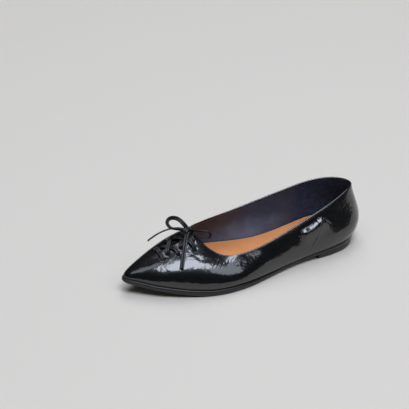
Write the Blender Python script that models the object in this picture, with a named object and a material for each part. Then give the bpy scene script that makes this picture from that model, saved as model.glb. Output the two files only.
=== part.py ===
"""Pointed toe flat shoe for the left foot: upper, insole, outsole, heel and a laced bow.

Frame: metres, +Z up, the toe towards -Y, the outer side of the foot towards +X, the floor at z = 0.
A station is the distance from the back of the shoe. The tables are in millimetres, measured
from the shoe's own axis, and everything else is in metres.
"""
import bmesh
import bpy
import numpy as np
from mathutils import Matrix, Vector

MM = 0.001
WELD = 0.01 * MM

# Driving sizes
ORIGIN_STATION = 133.9 * MM   # station that stands over the origin
ORIGIN_SIDE = 3.3 * MM        # how far the origin lies to the outer side of the shoe's axis
WALL = 2.0 * MM               # leather and lining together
GAP = 0.3 * MM                # air kept between pieces that touch
INSOLE_THICKNESS = 1.3 * MM
INSOLE_STATIONS = (6.5 * MM, 261.0 * MM)
INSOLE_INSETS = (0.7 * MM, 1.1 * MM)   # from the upper's wall, under and over the insole
HEEL_BREAST = 63.0 * MM       # station of the heel's front face
FOREFOOT_LIP = 1.4 * MM       # how far the sole stands out past the upper
HEEL_LIP = 0.2 * MM
LIP_STATIONS = (70.0 * MM, 120.0 * MM)   # the lip grows from the heel's to the forefoot's here
SLIT_END = 221.0 * MM
SLIT_WIDTHS = (4.6 * MM, 1.6 * MM)   # at the throat and at its closed end
LACING_SIDE = -1.5 * MM       # the slit and the lacing are centred here
HOLE_RADIUS = 1.45 * MM
HOLE_SIDES = 10
BAR_RADIUS = 1.1 * MM
BAR_LIFT = 0.5 * MM           # the bars' clearance over the vamp
BAR_SPACING = 2.6 * MM
CROSSING_RISE = 0.5           # one strand passes this much higher, in millimetres
BAR_END_SPAN = 4.9            # the last strands stop this far from the knot's middle, in millimetres
LACE_RADIUS = 1.4 * MM
CORD_SPACING = 4 * LACE_RADIUS       # two diameters
KNOT_CENTRE = (-3.0, 194.8, 52.0)    # side, station and height in millimetres
KNOT_RADII = (4.2 * MM, 3.6 * MM, 2.9 * MM)
KNOT_TURN_RADII = (3.1 * MM, 1.3 * MM)
KNOT_TURN_TILT = (80.0, 0.0, 25.0)   # degrees
SLIT_OVERRUN = 6.0 * MM       # the slit's cutter starts this far behind the throat
SLIT_CUT_DEPTH = 40.0 * MM
HOLE_CUT_DEPTH = 9.0 * MM
TIP_MARGIN = 0.15 * MM        # a slab's first and last points stop this far from the loop's ends

# Resolution of the faceted solids
UPPER_MERIDIANS = 84
UPPER_ROWS = 12
SOLE_STATIONS = 30
HEEL_STATIONS = 12
FINE_MERIDIANS = 420
FINE_ROWS = 60
FEATHER_POINTS = 1680
KNOT_TURN_SEGMENTS = (18, 8)
KNOT_SEGMENTS = (14, 8)

# One row for each rib of the upper, from the back round the outer side to the toe and home along the
# inner side. The foot is on the feather line, the top on the collar. The wall leaves the foot upwards by
# rise and outwards by bulge, and it comes to the top from reach outwards and drop below.
RIB_COLUMNS = ("foot_s", "foot_x", "top_s", "top_x", "top_z", "rise", "bulge", "reach", "drop")
RIBS = (
    (4.5, 0.5, 7.5, -1.5, 60.8, 10.0, 10.0, 3.5, 20.0),
    (14.0, 20.5, 14.0, 8.5, 60.8, 11.0, 8.5, 4.0, 19.0),
    (39.0, 32.5, 36.0, 19.2, 57.8, 11.0, 3.5, 3.0, 16.0),
    (74.0, 33.5, 68.0, 25.0, 49.8, 12.0, 2.0, 3.0, 12.0),
    (110.0, 36.3, 100.0, 28.8, 41.3, 11.0, 2.0, 2.5, 11.0),
    (145.0, 43.3, 130.0, 31.5, 35.2, 11.0, 2.0, 5.0, 9.0),
    (175.0, 44.6, 154.0, 30.3, 31.8, 11.0, 2.0, 9.0, 7.0),
    (202.0, 38.4, 170.0, 25.0, 31.6, 12.0, 1.0, 15.0, 5.0),
    (226.0, 27.8, 180.0, 17.2, 35.6, 12.0, 1.0, 23.0, 5.5),
    (245.0, 16.8, 186.5, 9.0, 41.3, 10.5, 0.8, 30.0, 8.0),
    (257.5, 7.2, 190.0, 2.5, 45.6, 8.5, 0.5, 34.0, 10.8),
    (264.3, 1.8, 191.5, -1.0, 47.6, 7.0, 0.5, 34.0, 12.0),
    (266.5, -3.2, 192.0, -4.0, 48.5, 7.0, 0.5, 35.0, 12.5),
    (264.3, -7.6, 191.8, -6.5, 48.9, 7.5, 0.5, 34.0, 12.5),
    (257.5, -11.0, 191.0, -9.0, 49.1, 9.5, 0.5, 31.0, 12.0),
    (245.0, -17.6, 189.0, -12.0, 48.7, 12.0, 0.5, 24.0, 10.5),
    (226.0, -27.0, 185.0, -15.5, 47.8, 12.5, 1.0, 16.0, 9.5),
    (202.0, -35.4, 177.0, -19.8, 46.0, 14.0, 1.5, 9.0, 9.0),
    (175.0, -38.0, 162.0, -24.6, 44.5, 16.0, 2.0, 6.0, 10.0),
    (145.0, -32.5, 138.0, -27.6, 44.7, 14.0, 2.0, 3.0, 12.0),
    (110.0, -24.5, 106.0, -28.0, 48.7, 12.0, 1.0, 1.0, 14.0),
    (74.0, -25.0, 72.0, -27.6, 53.7, 12.0, 1.5, 2.0, 14.0),
    (39.0, -27.0, 39.0, -24.8, 58.6, 12.0, 3.0, 3.0, 16.0),
    (14.0, -19.0, 15.5, -14.0, 60.9, 11.0, 7.5, 3.5, 19.0),
)

# The sole's underside and thickness along the shoe. Below zero it rests flat on the floor.
SOLE_COLUMNS = ("station", "underside", "thickness")
SOLE_PROFILE = (
    (0.0, 9.0, 4.6),
    (30.0, 7.4, 4.4),
    (60.0, 5.6, 4.2),
    (90.0, 3.6, 4.0),
    (115.0, 1.7, 4.3),
    (135.0, 0.5, 5.0),
    (150.0, 0.0, 5.6),
    (170.0, -0.3, 5.9),
    (186.0, 0.0, 5.9),
    (200.0, 1.2, 5.8),
    (215.0, 3.2, 5.6),
    (235.0, 6.7, 5.2),
    (252.0, 10.2, 4.7),
    (268.0, 13.5, 4.3),
)

# The sole's edge from its underside up. Columns: height as a part of the thickness, and the step in
# from the full lip.
SOLE_EDGE = ((0.0, 1.0), (0.16, 0.15), (0.3, 0.0), (0.72, 0.0), (0.9, 0.35), (1.0, 1.1))

# The heel's side from the floor up. Columns: height as a part of its own, and the step in from the
# feather line.
HEEL_EDGE = ((0.0, 1.7), (0.08, 1.2), (1.0, 0.8))

# Punched holes beside the slit, the toe's pair first. Columns: station, and distance from the lacing's
# centre line.
OUTER_HOLES = ((228.5, 9.5), (213.5, 12.8), (196.6, 14.9))
INNER_HOLES = ((223.3, 6.7), (209.0, 8.4), (196.0, 8.6))

# Routes of the bow, from the knot: side, station and height of each point
LOOP_INNER = ((-6.6, 197.0, 54.4), (-9.6, 199.2, 58.0), (-14.5, 201.5, 60.0), (-20.0, 204.5, 59.2),
              (-24.2, 207.4, 55.6), (-24.6, 208.6, 51.2), (-21.0, 207.4, 48.6), (-15.5, 204.6, 48.9),
              (-11.2, 201.6, 49.6), (-7.6, 198.9, 50.2))
LOOP_OUTER = ((1.6, 193.0, 53.4), (6.0, 189.2, 54.8), (10.0, 184.8, 55.4), (12.6, 181.4, 54.4),
              (13.3, 179.8, 51.6), (12.6, 180.4, 48.9), (10.0, 183.6, 47.8), (6.4, 187.6, 48.2),
              (2.4, 191.4, 49.8))
END_OUTER = ((-0.2, 197.6, 54.3), (4.6, 201.9, 51.8), (10.6, 206.4, 47.2), (15.8, 210.4, 41.6),
             (20.9, 214.1, 36.0), (25.4, 217.3, 30.8))
END_INNER = ((-5.6, 198.8, 52.6), (-9.4, 204.2, 53.2), (-14.0, 210.8, 51.4), (-18.4, 217.8, 47.4),
             (-22.0, 224.6, 42.0), (-24.2, 230.0, 37.2))


def place(side, station, height):
    """Gives a point of the shoe in the world."""
    return np.array([side - ORIGIN_SIDE, ORIGIN_STATION - station, height])


def station_of(points):
    """Gives the stations of world points."""
    return ORIGIN_STATION - points[..., 1]


def spline(knots, values, at, closed=False):
    """Evaluates the cubic spline through values at knots; a closed one has one knot more than values."""
    count = len(values)
    widths = np.diff(knots)
    spans = len(widths)
    matrix = np.eye(count)
    right = np.zeros(count)
    for i in range(0 if closed else 1, count if closed else count - 1):
        before, after = widths[(i - 1) % spans], widths[i % spans]
        previous, following = (i - 1) % count, (i + 1) % count
        matrix[i] = 0.0
        matrix[i, previous] += before
        matrix[i, i] += 2 * (before + after)
        matrix[i, following] += after
        right[i] = 6 * ((values[following] - values[i]) / after - (values[i] - values[previous]) / before)
    bend = np.linalg.solve(matrix, right)
    span = np.clip(np.searchsorted(knots, at, side="right") - 1, 0, spans - 1)
    following = (span + 1) % count
    width = widths[span]
    passed = at - knots[span]
    left = width - passed
    return ((bend[span] * left**3 + bend[following] * passed**3) / (6 * width)
            + (values[span] / width - bend[span] * width / 6) * left
            + (values[following] / width - bend[following] * width / 6) * passed)


def table_column(table, names, name):
    """Gives one column of a millimetre table in metres."""
    return np.array([row[names.index(name)] for row in table]) * MM


def sole_underside(stations):
    """Height of the sole's underside above the floor."""
    knots = table_column(SOLE_PROFILE, SOLE_COLUMNS, "station")
    return np.maximum(spline(knots, table_column(SOLE_PROFILE, SOLE_COLUMNS, "underside"), stations), 0.0)


def sole_top(stations):
    """Height of the sole's top above the floor."""
    knots = table_column(SOLE_PROFILE, SOLE_COLUMNS, "station")
    thickness = spline(knots, table_column(SOLE_PROFILE, SOLE_COLUMNS, "thickness"), stations)
    return sole_underside(stations) + thickness


def plan_normals(loop):
    """Gives the outward normals, in plan, of a closed loop that runs from the back round the outer side."""
    along = np.roll(loop, -1, 0) - np.roll(loop, 1, 0)
    normals = np.stack([-along[:, 1], along[:, 0], np.zeros(len(loop))], axis=1)
    return normals / np.linalg.norm(normals, axis=1)[:, None]


def rib_curves(count):
    """Gives the foot loop, the top loop and the four shape columns, at count meridians."""
    column = {name: table_column(RIBS, RIB_COLUMNS, name) for name in RIB_COLUMNS}
    foot = np.stack([column["foot_x"], column["foot_s"]], axis=1)
    top = np.stack([column["top_x"], column["top_s"]], axis=1)
    steps = (np.linalg.norm(np.roll(foot, -1, 0) - foot, axis=1)
             + np.linalg.norm(np.roll(top, -1, 0) - top, axis=1)) / 2
    knots = np.concatenate([[0.0], np.cumsum(steps)])
    at = np.linspace(0.0, knots[-1], count, endpoint=False)
    value = {name: spline(knots, column[name], at, closed=True) for name in RIB_COLUMNS}
    foot_height = sole_top(value["foot_s"]) + GAP
    foot_loop = place(value["foot_x"], value["foot_s"], foot_height).T
    top_loop = place(value["top_x"], value["top_s"], value["top_z"]).T
    return foot_loop, top_loop, value


def upper_surface(meridians, rows):
    """Gives the upper's outer surface as a grid of points, from the feather line up to the collar."""
    foot, top, value = rib_curves(meridians)
    up = np.array([0.0, 0.0, 1.0])
    low = foot + up * value["rise"][:, None] + plan_normals(foot) * value["bulge"][:, None]
    high = top - up * value["drop"][:, None] + plan_normals(top) * value["reach"][:, None]
    t = np.linspace(0.0, 1.0, rows + 1)[None, :, None]
    return (foot[:, None] * (1 - t)**3 + 3 * low[:, None] * t * (1 - t)**2
            + 3 * high[:, None] * t**2 * (1 - t) + top[:, None] * t**3)


def surface_normals(grid):
    """Gives the outward unit normals of a closed grid of meridians and rows."""
    around = np.roll(grid, -1, 0) - np.roll(grid, 1, 0)
    upwards = np.gradient(grid, axis=1)
    normals = np.cross(upwards, around)
    return normals / np.linalg.norm(normals, axis=2)[..., None]


class Vamp:
    """Answers where the upper's outer surface lies under a point of the plan."""

    def __init__(self):
        grid = upper_surface(FINE_MERIDIANS, FINE_ROWS)
        self.points = grid.reshape(-1, 3)
        self.normals = surface_normals(grid).reshape(-1, 3)

    def point(self, side, station, lift=0.0):
        """Gives the surface point at a side and station in metres, lifted along the normal."""
        target = place(side, station, 0.0)
        offset = target[:2] - self.points[:, :2]
        nearest = (offset**2).sum(axis=1).argmin()
        normal = self.normals[nearest]
        height = self.points[nearest][2] - (normal[:2] * offset[nearest]).sum() / normal[2]
        return np.array([target[0], target[1], height]) + normal * lift, normal


def make_material(name, colour, roughness):
    """Makes a plain material from a linear colour."""
    material = bpy.data.materials.new(name)
    material.use_nodes = True
    shader = material.node_tree.nodes["Principled BSDF"]
    shader.inputs["Base Color"].default_value = (*colour, 1.0)
    shader.inputs["Roughness"].default_value = roughness
    shader.inputs["Metallic"].default_value = 0.0
    material.diffuse_color = (*colour, 1.0)
    return material


def add_solid(name, vertices, faces, material, collection):
    """Adds a mesh object with its faces pointing out."""
    mesh = bpy.data.meshes.new(name)
    mesh.from_pydata([tuple(v) for v in vertices], [], faces)
    work = bmesh.new()
    work.from_mesh(mesh)
    bmesh.ops.recalc_face_normals(work, faces=work.faces)
    work.to_mesh(mesh)
    work.free()
    mesh.shade_smooth()
    mesh.set_sharp_from_angle(angle=np.radians(40))
    mesh.materials.append(material)
    solid = bpy.data.objects.new(name, mesh)
    collection.objects.link(solid)
    return solid


def ring_faces(rings, size):
    """Gives the quads between rings of equal size; the rings follow each other round a closed tube."""
    faces = []
    for ring in range(len(rings)):
        here, there = rings[ring] * size, rings[(ring + 1) % len(rings)] * size
        for i in range(size):
            j = (i + 1) % size
            faces.append((here + i, here + j, there + j, there + i))
    return faces


def build_upper(material, collection):
    """Builds the upper's wall, from the outer surface and the same surface one wall further in."""
    outer = upper_surface(UPPER_MERIDIANS, UPPER_ROWS)
    inner = outer - surface_normals(outer) * WALL
    inner[:, 0, 2] = sole_top(station_of(inner[:, 0])) + GAP
    rows = np.concatenate([outer, inner[:, ::-1]], axis=1)
    vertices = rows.transpose(1, 0, 2).reshape(-1, 3)
    faces = ring_faces(range(rows.shape[1]), UPPER_MERIDIANS)
    return add_solid("upper", vertices, faces, material, collection)


def add_cutter(cutters):
    """Takes the active primitive out of the scene's own collection and hides it among the cutters."""
    cutter = bpy.context.object
    for owner in list(cutter.users_collection):
        owner.objects.unlink(cutter)
    cutters.objects.link(cutter)
    cutter.display_type = "WIRE"
    cutter.hide_render = True
    return cutter


def cut_lacing(upper, vamp, cutters):
    """Cuts the slit at the throat and punches the lace holes beside it."""
    throat = max(row[RIB_COLUMNS.index("top_s")] for row in RIBS) * MM
    start = throat - SLIT_OVERRUN
    length = SLIT_END - start
    middle, _ = vamp.point(LACING_SIDE, (throat + SLIT_END) / 2)
    centre = place(LACING_SIDE, (start + SLIT_END) / 2, middle[2])
    bpy.ops.mesh.primitive_cube_add(size=1.0, location=centre)
    slit = add_cutter(cutters)
    slit.name = "slit_cutter"
    for vertex in slit.data.vertices:
        width = SLIT_WIDTHS[0] if vertex.co.y > 0 else SLIT_WIDTHS[1]
        vertex.co = Vector((vertex.co.x * width, vertex.co.y * length, vertex.co.z * SLIT_CUT_DEPTH))
    for station, half_span in OUTER_HOLES + INNER_HOLES:
        for side in (half_span, -half_span):
            spot, normal = vamp.point(LACING_SIDE + side * MM, station * MM)
            turn = Vector(normal).to_track_quat("Z", "Y").to_euler()
            bpy.ops.mesh.primitive_cylinder_add(vertices=HOLE_SIDES, radius=HOLE_RADIUS,
                                                depth=HOLE_CUT_DEPTH, location=spot, rotation=turn)
            add_cutter(cutters).name = "hole_cutter"
    cut = upper.modifiers.new("lacing", "BOOLEAN")
    cut.operation = "DIFFERENCE"
    cut.operand_type = "COLLECTION"
    cut.collection = cutters
    cut.solver = "EXACT"


def foot_pairs(first, last, count):
    """Gives points and plan normals of the feather line at stations shared by its two sides.

    The points run up the outer side and back down the inner side, closer together at both ends.
    """
    loop, _, _ = rib_curves(FEATHER_POINTS)
    normals = plan_normals(loop)
    stations = station_of(loop)
    back, toe = stations.argmin(), stations.argmax()
    first = max(first, stations[back] + TIP_MARGIN)
    last = min(last, stations[toe] - TIP_MARGIN)
    wanted = first + (last - first) * (1 - np.cos(np.linspace(0, np.pi, count))) / 2
    order = np.roll(np.arange(len(loop)), -back)
    turn = (toe - back) % len(loop)
    sides = []
    for indices in (order[:turn + 1], np.append(order[turn:], order[0])[::-1]):
        known = stations[indices]
        points = [np.interp(wanted, known, loop[indices, axis]) for axis in range(3)]
        outward = [np.interp(wanted, known, normals[indices, axis]) for axis in range(3)]
        sides.append((np.stack(points, axis=1), np.stack(outward, axis=1)))
    points = np.concatenate([sides[0][0], sides[1][0][::-1]])
    outward = np.concatenate([sides[0][1], sides[1][1][::-1]])
    return points, outward / np.linalg.norm(outward, axis=1)[:, None]


def build_slab(name, rings, material, collection):
    """Builds a solid from rings of paired points, lowest first, with its ends closed across."""
    size = len(rings[0])
    faces = ring_faces(range(len(rings)), size)[:-size]
    for base in (0, (len(rings) - 1) * size):
        for i in range(size // 2 - 1):
            faces.append((base + i, base + i + 1, base + size - 2 - i, base + size - 1 - i))
    return add_solid(name, np.concatenate(rings), faces, material, collection)


def build_outsole(material, collection):
    """Builds the sole with its rounded edge, arch and toe spring."""
    points, outward = foot_pairs(0.0, 1.0, SOLE_STATIONS)
    stations = station_of(points)
    blend = np.clip((stations - LIP_STATIONS[0]) / (LIP_STATIONS[1] - LIP_STATIONS[0]), 0.0, 1.0)
    lip = HEEL_LIP + (FOREFOOT_LIP - HEEL_LIP) * blend * blend * (3 - 2 * blend)
    low, high = sole_underside(stations), sole_top(stations)
    rings = []
    for height, inset in SOLE_EDGE:
        ring = points + outward * (lip - inset * MM)[:, None]
        ring[:, 2] = low + (high - low) * height
        rings.append(ring)
    return build_slab("outsole", rings, material, collection)


def build_heel(material, collection):
    """Builds the low heel block, a little smaller at the floor."""
    points, outward = foot_pairs(0.0, HEEL_BREAST, HEEL_STATIONS)
    under = sole_underside(station_of(points)) - GAP
    rings = []
    for height, inset in HEEL_EDGE:
        ring = points - outward * inset * MM
        ring[:, 2] = under * height
        rings.append(ring)
    return build_slab("heel", rings, material, collection)


def build_insole(material, collection):
    """Builds the insole, which lies on the sole inside the upper's wall."""
    points, outward = foot_pairs(*INSOLE_STATIONS, SOLE_STATIONS)
    rings = []
    for height, inset in zip((GAP, INSOLE_THICKNESS + GAP), INSOLE_INSETS):
        ring = points - outward * (WALL + inset)
        ring[:, 2] = sole_top(station_of(ring)) + height
        rings.append(ring)
    return build_slab("insole", rings, material, collection)


def smooth_route(points, spacing):
    """Gives points at even spacing on the smooth curve through a route's own points."""
    points = np.asarray(points, float)
    knots = np.concatenate([[0.0], np.cumsum(np.linalg.norm(np.diff(points, axis=0), axis=1))])
    at = np.linspace(0.0, knots[-1], max(4, int(round(knots[-1] / spacing)) + 1))
    return np.stack([spline(knots, points[:, axis], at) for axis in range(3)], axis=1)


def cord_curve(name, route, radius, spacing):
    """Makes a round cord with filled ends along a route."""
    curve = bpy.data.curves.new(name, "CURVE")
    curve.dimensions = "3D"
    curve.bevel_depth = radius
    curve.bevel_resolution = 2
    curve.use_fill_caps = True
    run = curve.splines.new("POLY")
    path = smooth_route(route, spacing)
    run.points.add(len(path) - 1)
    for point, position in zip(run.points, path):
        point.co = (*position, 1.0)
    return bpy.data.objects.new(name, curve)


def build_cord(name, table, material, collection):
    """Adds one free run of the lace."""
    route = [place(*point) for point in np.array(table) * MM]
    cord = cord_curve(name, route, LACE_RADIUS, CORD_SPACING)
    cord.data.materials.append(material)
    collection.objects.link(cord)
    return cord


def solid_from(source, name, collection):
    """Turns a curve or a modified mesh into a plain mesh object with welded caps."""
    bpy.context.view_layer.update()
    graph = bpy.context.evaluated_depsgraph_get()
    mesh = bpy.data.meshes.new_from_object(source.evaluated_get(graph))
    work = bmesh.new()
    work.from_mesh(mesh)
    bmesh.ops.remove_doubles(work, verts=work.verts, dist=WELD)
    work.to_mesh(mesh)
    work.free()
    solid = bpy.data.objects.new(name, mesh)
    solid.matrix_world = source.matrix_world
    collection.objects.link(solid)
    bpy.data.objects.remove(source)
    return solid


def join_solids(base, others, name):
    """Joins solids that run into each other by Boolean unions."""
    for other in others:
        union = base.modifiers.new(name, "BOOLEAN")
        union.operation = "UNION"
        union.object = other
        union.solver = "EXACT"
        other.hide_render = True
        other.display_type = "WIRE"


def lace_half(vamp, sign):
    """Gives the lace's route over the vamp from the front bar's middle to one side of the knot."""
    stops = [(0.0, OUTER_HOLES[0][0], 0.0)]
    side = sign
    for row in range(3):
        stops.append((side * OUTER_HOLES[row][1], OUTER_HOLES[row][0], 0.0))
        stops.append((side * INNER_HOLES[row][1], INNER_HOLES[row][0], 0.0))
        if row < 2:
            middle = (INNER_HOLES[row][0] + OUTER_HOLES[row + 1][0]) / 2
            stops.append((0.0, middle, CROSSING_RISE if sign > 0 else 0.0))
            side = -side
    knot_span = KNOT_CENTRE[0] - LACING_SIDE / MM
    stops.append((knot_span + side * BAR_END_SPAN, KNOT_CENTRE[1], 0.0))
    plan = smooth_route(np.array(stops) * MM, BAR_SPACING)
    lift = BAR_RADIUS + BAR_LIFT
    return [vamp.point(LACING_SIDE + span, station, lift + rise)[0] for span, station, rise in plan]


def build_lace_bars(vamp, material, collection, cutters):
    """Builds the front bar and the crossings as one solid, just clear of the upper."""
    halves = []
    for sign in (1, -1):
        run = cord_curve("lace_run", lace_half(vamp, sign), BAR_RADIUS, BAR_SPACING)
        cutters.objects.link(run)
        halves.append(run)
    bars = solid_from(halves[0], "lace_bars", collection)
    other = solid_from(halves[1], "lace_bars_tool", cutters)
    join_solids(bars, [other], "crossing")
    bars.data.materials.append(material)
    return bars


def build_knot(material, collection, cutters):
    """Builds the knot: a squashed ball with one turn of lace round it."""
    centre = place(*(np.array(KNOT_CENTRE) * MM))
    bpy.ops.mesh.primitive_torus_add(major_segments=KNOT_TURN_SEGMENTS[0],
                                     minor_segments=KNOT_TURN_SEGMENTS[1],
                                     major_radius=KNOT_TURN_RADII[0], minor_radius=KNOT_TURN_RADII[1],
                                     location=centre, rotation=np.radians(KNOT_TURN_TILT))
    turn = add_cutter(cutters)
    turn.name = "knot_turn"
    mesh = bpy.data.meshes.new("lace_knot")
    work = bmesh.new()
    shape = Matrix.Translation(centre) @ Matrix.Diagonal((*KNOT_RADII, 1.0))
    bmesh.ops.create_uvsphere(work, u_segments=KNOT_SEGMENTS[0], v_segments=KNOT_SEGMENTS[1],
                              radius=1.0, matrix=shape)
    work.to_mesh(mesh)
    work.free()
    mesh.shade_smooth()
    mesh.materials.append(material)
    knot = bpy.data.objects.new("lace_knot", mesh)
    collection.objects.link(knot)
    join_solids(knot, [turn], "turn")
    return knot


def clear_scene():
    """Removes the objects that the scene starts with."""
    for leftover in list(bpy.data.objects):
        bpy.data.objects.remove(leftover)


def main():
    """Builds the shoe."""
    clear_scene()
    shoe = bpy.data.collections.new("pointed_toe_flat_shoe")
    cutters = bpy.data.collections.new("cutters")
    tools = bpy.data.collections.new("lace_tools")
    for group in (shoe, cutters, tools):
        bpy.context.scene.collection.children.link(group)
    upper_leather = make_material("glossy_black_leather", (0.006, 0.006, 0.007), 0.22)
    sole_leather = make_material("black_sole", (0.01, 0.01, 0.01), 0.5)
    heel_stack = make_material("black_heel", (0.012, 0.012, 0.012), 0.45)
    insole_leather = make_material("tan_insole", (0.47, 0.2, 0.095), 0.6)
    lace_leather = make_material("black_lace", (0.008, 0.008, 0.009), 0.35)
    vamp = Vamp()
    upper = build_upper(upper_leather, shoe)
    cut_lacing(upper, vamp, cutters)
    build_outsole(sole_leather, shoe)
    build_heel(heel_stack, shoe)
    build_insole(insole_leather, shoe)
    build_lace_bars(vamp, lace_leather, shoe, tools)
    build_knot(lace_leather, shoe, tools)
    build_cord("lace_loop_inner", LOOP_INNER, lace_leather, shoe)
    build_cord("lace_loop_outer", LOOP_OUTER, lace_leather, shoe)
    build_cord("lace_end_inner", END_INNER, lace_leather, shoe)
    build_cord("lace_end_outer", END_OUTER, lace_leather, shoe)


if __name__ == "__main__":
    main()
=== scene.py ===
"""Looks of the left pointed toe flat shoe: glossy black leather, laced slit, bow, tan insole, low heel.

Frame: metres, +Z up, the toe towards -Y, the outer side of the foot towards +X, the floor at z = 0.
A station is the distance from the back of the shoe. Tables are in millimetres from the shoe's own axis.
"""
from __future__ import annotations

import logging
import math
import sys
from collections.abc import Callable, Iterable
from dataclasses import dataclass, field
from enum import Enum
from typing import NamedTuple

import bpy
import numpy as np
from mathutils import Matrix, Vector

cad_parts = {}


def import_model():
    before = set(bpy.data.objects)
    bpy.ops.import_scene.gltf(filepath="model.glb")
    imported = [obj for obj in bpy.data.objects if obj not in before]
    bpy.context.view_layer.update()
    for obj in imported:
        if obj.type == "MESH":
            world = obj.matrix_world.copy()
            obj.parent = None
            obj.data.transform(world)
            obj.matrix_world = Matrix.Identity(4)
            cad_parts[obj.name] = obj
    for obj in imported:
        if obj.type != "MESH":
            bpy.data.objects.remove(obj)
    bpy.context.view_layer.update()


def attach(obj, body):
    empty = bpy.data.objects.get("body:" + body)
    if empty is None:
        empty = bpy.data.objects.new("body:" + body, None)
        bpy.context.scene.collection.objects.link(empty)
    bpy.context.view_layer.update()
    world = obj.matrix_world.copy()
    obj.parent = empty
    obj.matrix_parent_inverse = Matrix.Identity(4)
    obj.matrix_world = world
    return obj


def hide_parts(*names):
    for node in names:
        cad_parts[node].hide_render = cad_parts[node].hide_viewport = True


LOG = logging.getLogger("shoe")
MM = 0.001
WELD = 0.001 * MM

Array = np.ndarray


class Rib(NamedTuple):
    """One rib of the upper, from the feather line up to the collar, in millimetres."""

    foot_s: float
    foot_x: float
    top_s: float
    top_x: float
    top_z: float
    rise: float
    bulge: float
    reach: float
    drop: float


# From the back round the outer side to the toe and home along the inner side
RIBS = (
    Rib(4.5, 0.5, 7.5, -1.5, 60.8, 10.0, 10.0, 3.5, 20.0),
    Rib(14.0, 20.5, 14.0, 8.5, 60.8, 11.0, 8.5, 4.0, 19.0),
    Rib(39.0, 32.5, 36.0, 19.2, 57.8, 11.0, 3.5, 3.0, 16.0),
    Rib(74.0, 33.5, 68.0, 25.0, 49.8, 12.0, 2.0, 3.0, 12.0),
    Rib(110.0, 36.3, 100.0, 28.8, 41.3, 11.0, 2.0, 2.5, 11.0),
    Rib(145.0, 43.3, 130.0, 31.5, 35.2, 11.0, 2.0, 5.0, 9.0),
    Rib(175.0, 44.6, 154.0, 30.3, 31.8, 11.0, 2.0, 9.0, 7.0),
    Rib(202.0, 38.4, 170.0, 25.0, 31.6, 12.0, 1.0, 15.0, 5.0),
    Rib(226.0, 27.8, 180.0, 17.2, 35.6, 12.0, 1.0, 23.0, 5.5),
    Rib(245.0, 16.8, 186.5, 9.0, 41.3, 10.5, 0.8, 30.0, 8.0),
    Rib(257.5, 7.2, 190.0, 2.5, 45.6, 8.5, 0.5, 34.0, 10.8),
    Rib(264.3, 1.8, 191.5, -1.0, 47.6, 7.0, 0.5, 34.0, 12.0),
    Rib(266.5, -3.2, 192.0, -4.0, 48.5, 7.0, 0.5, 35.0, 12.5),
    Rib(264.3, -7.6, 191.8, -6.5, 48.9, 7.5, 0.5, 34.0, 12.5),
    Rib(257.5, -11.0, 191.0, -9.0, 49.1, 9.5, 0.5, 31.0, 12.0),
    Rib(245.0, -17.6, 189.0, -12.0, 48.7, 12.0, 0.5, 24.0, 10.5),
    Rib(226.0, -27.0, 185.0, -15.5, 47.8, 12.5, 1.0, 16.0, 9.5),
    Rib(202.0, -35.4, 177.0, -19.8, 46.0, 14.0, 1.5, 9.0, 9.0),
    Rib(175.0, -38.0, 162.0, -24.6, 44.5, 16.0, 2.0, 6.0, 10.0),
    Rib(145.0, -32.5, 138.0, -27.6, 44.7, 14.0, 2.0, 3.0, 12.0),
    Rib(110.0, -24.5, 106.0, -28.0, 48.7, 12.0, 1.0, 1.0, 14.0),
    Rib(74.0, -25.0, 72.0, -27.6, 53.7, 12.0, 1.5, 2.0, 14.0),
    Rib(39.0, -27.0, 39.0, -24.8, 58.6, 12.0, 3.0, 3.0, 16.0),
    Rib(14.0, -19.0, 15.5, -14.0, 60.9, 11.0, 7.5, 3.5, 19.0),
)


class SoleSection(NamedTuple):
    """The sole's underside and thickness at a station, in millimetres; below zero it lies on the floor."""

    station: float
    underside: float
    thickness: float


SOLE_PROFILE = (
    SoleSection(0.0, 9.0, 4.6),
    SoleSection(30.0, 7.4, 4.4),
    SoleSection(60.0, 5.6, 4.2),
    SoleSection(90.0, 3.6, 4.0),
    SoleSection(115.0, 1.7, 4.3),
    SoleSection(135.0, 0.5, 5.0),
    SoleSection(150.0, 0.0, 5.6),
    SoleSection(170.0, -0.3, 5.9),
    SoleSection(186.0, 0.0, 5.9),
    SoleSection(200.0, 1.2, 5.8),
    SoleSection(215.0, 3.2, 5.6),
    SoleSection(235.0, 6.7, 5.2),
    SoleSection(252.0, 10.2, 4.7),
    SoleSection(268.0, 13.5, 4.3),
)

# Punched holes beside the slit, the toe's pair first: station, and distance from the lacing's centre line
OUTER_HOLES = ((228.5, 9.5), (213.5, 12.8), (196.6, 14.9))
INNER_HOLES = ((223.3, 6.7), (209.0, 8.4), (196.0, 8.6))
LACING_SIDE = -1.5

# Routes of the bow, from the knot: side, station and height of each point
KNOT_CENTRE = (-3.0, 194.8, 52.0)
LOOP_INNER = ((-6.6, 197.0, 54.4), (-9.6, 199.2, 58.0), (-14.5, 201.5, 60.0), (-20.0, 204.5, 59.2),
              (-24.2, 207.4, 55.6), (-24.6, 208.6, 51.2), (-21.0, 207.4, 48.6), (-15.5, 204.6, 48.9),
              (-11.2, 201.6, 49.6), (-7.6, 198.9, 50.2))
LOOP_OUTER = ((1.6, 193.0, 53.4), (6.0, 189.2, 54.8), (10.0, 184.8, 55.4), (12.6, 181.4, 54.4),
              (13.3, 179.8, 51.6), (12.6, 180.4, 48.9), (10.0, 183.6, 47.8), (6.4, 187.6, 48.2),
              (2.4, 191.4, 49.8))
END_OUTER = ((1.9, 199.6, 52.6), (4.9, 202.2, 51.0), (10.6, 206.4, 47.2), (15.8, 210.4, 41.6),
             (20.9, 214.1, 36.0), (25.4, 217.3, 30.8))
END_INNER = ((-5.6, 198.8, 52.6), (-9.4, 204.2, 53.2), (-14.0, 210.8, 51.4), (-18.4, 217.8, 47.4),
             (-22.0, 224.6, 42.0), (-24.2, 230.0, 37.2))


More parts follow.
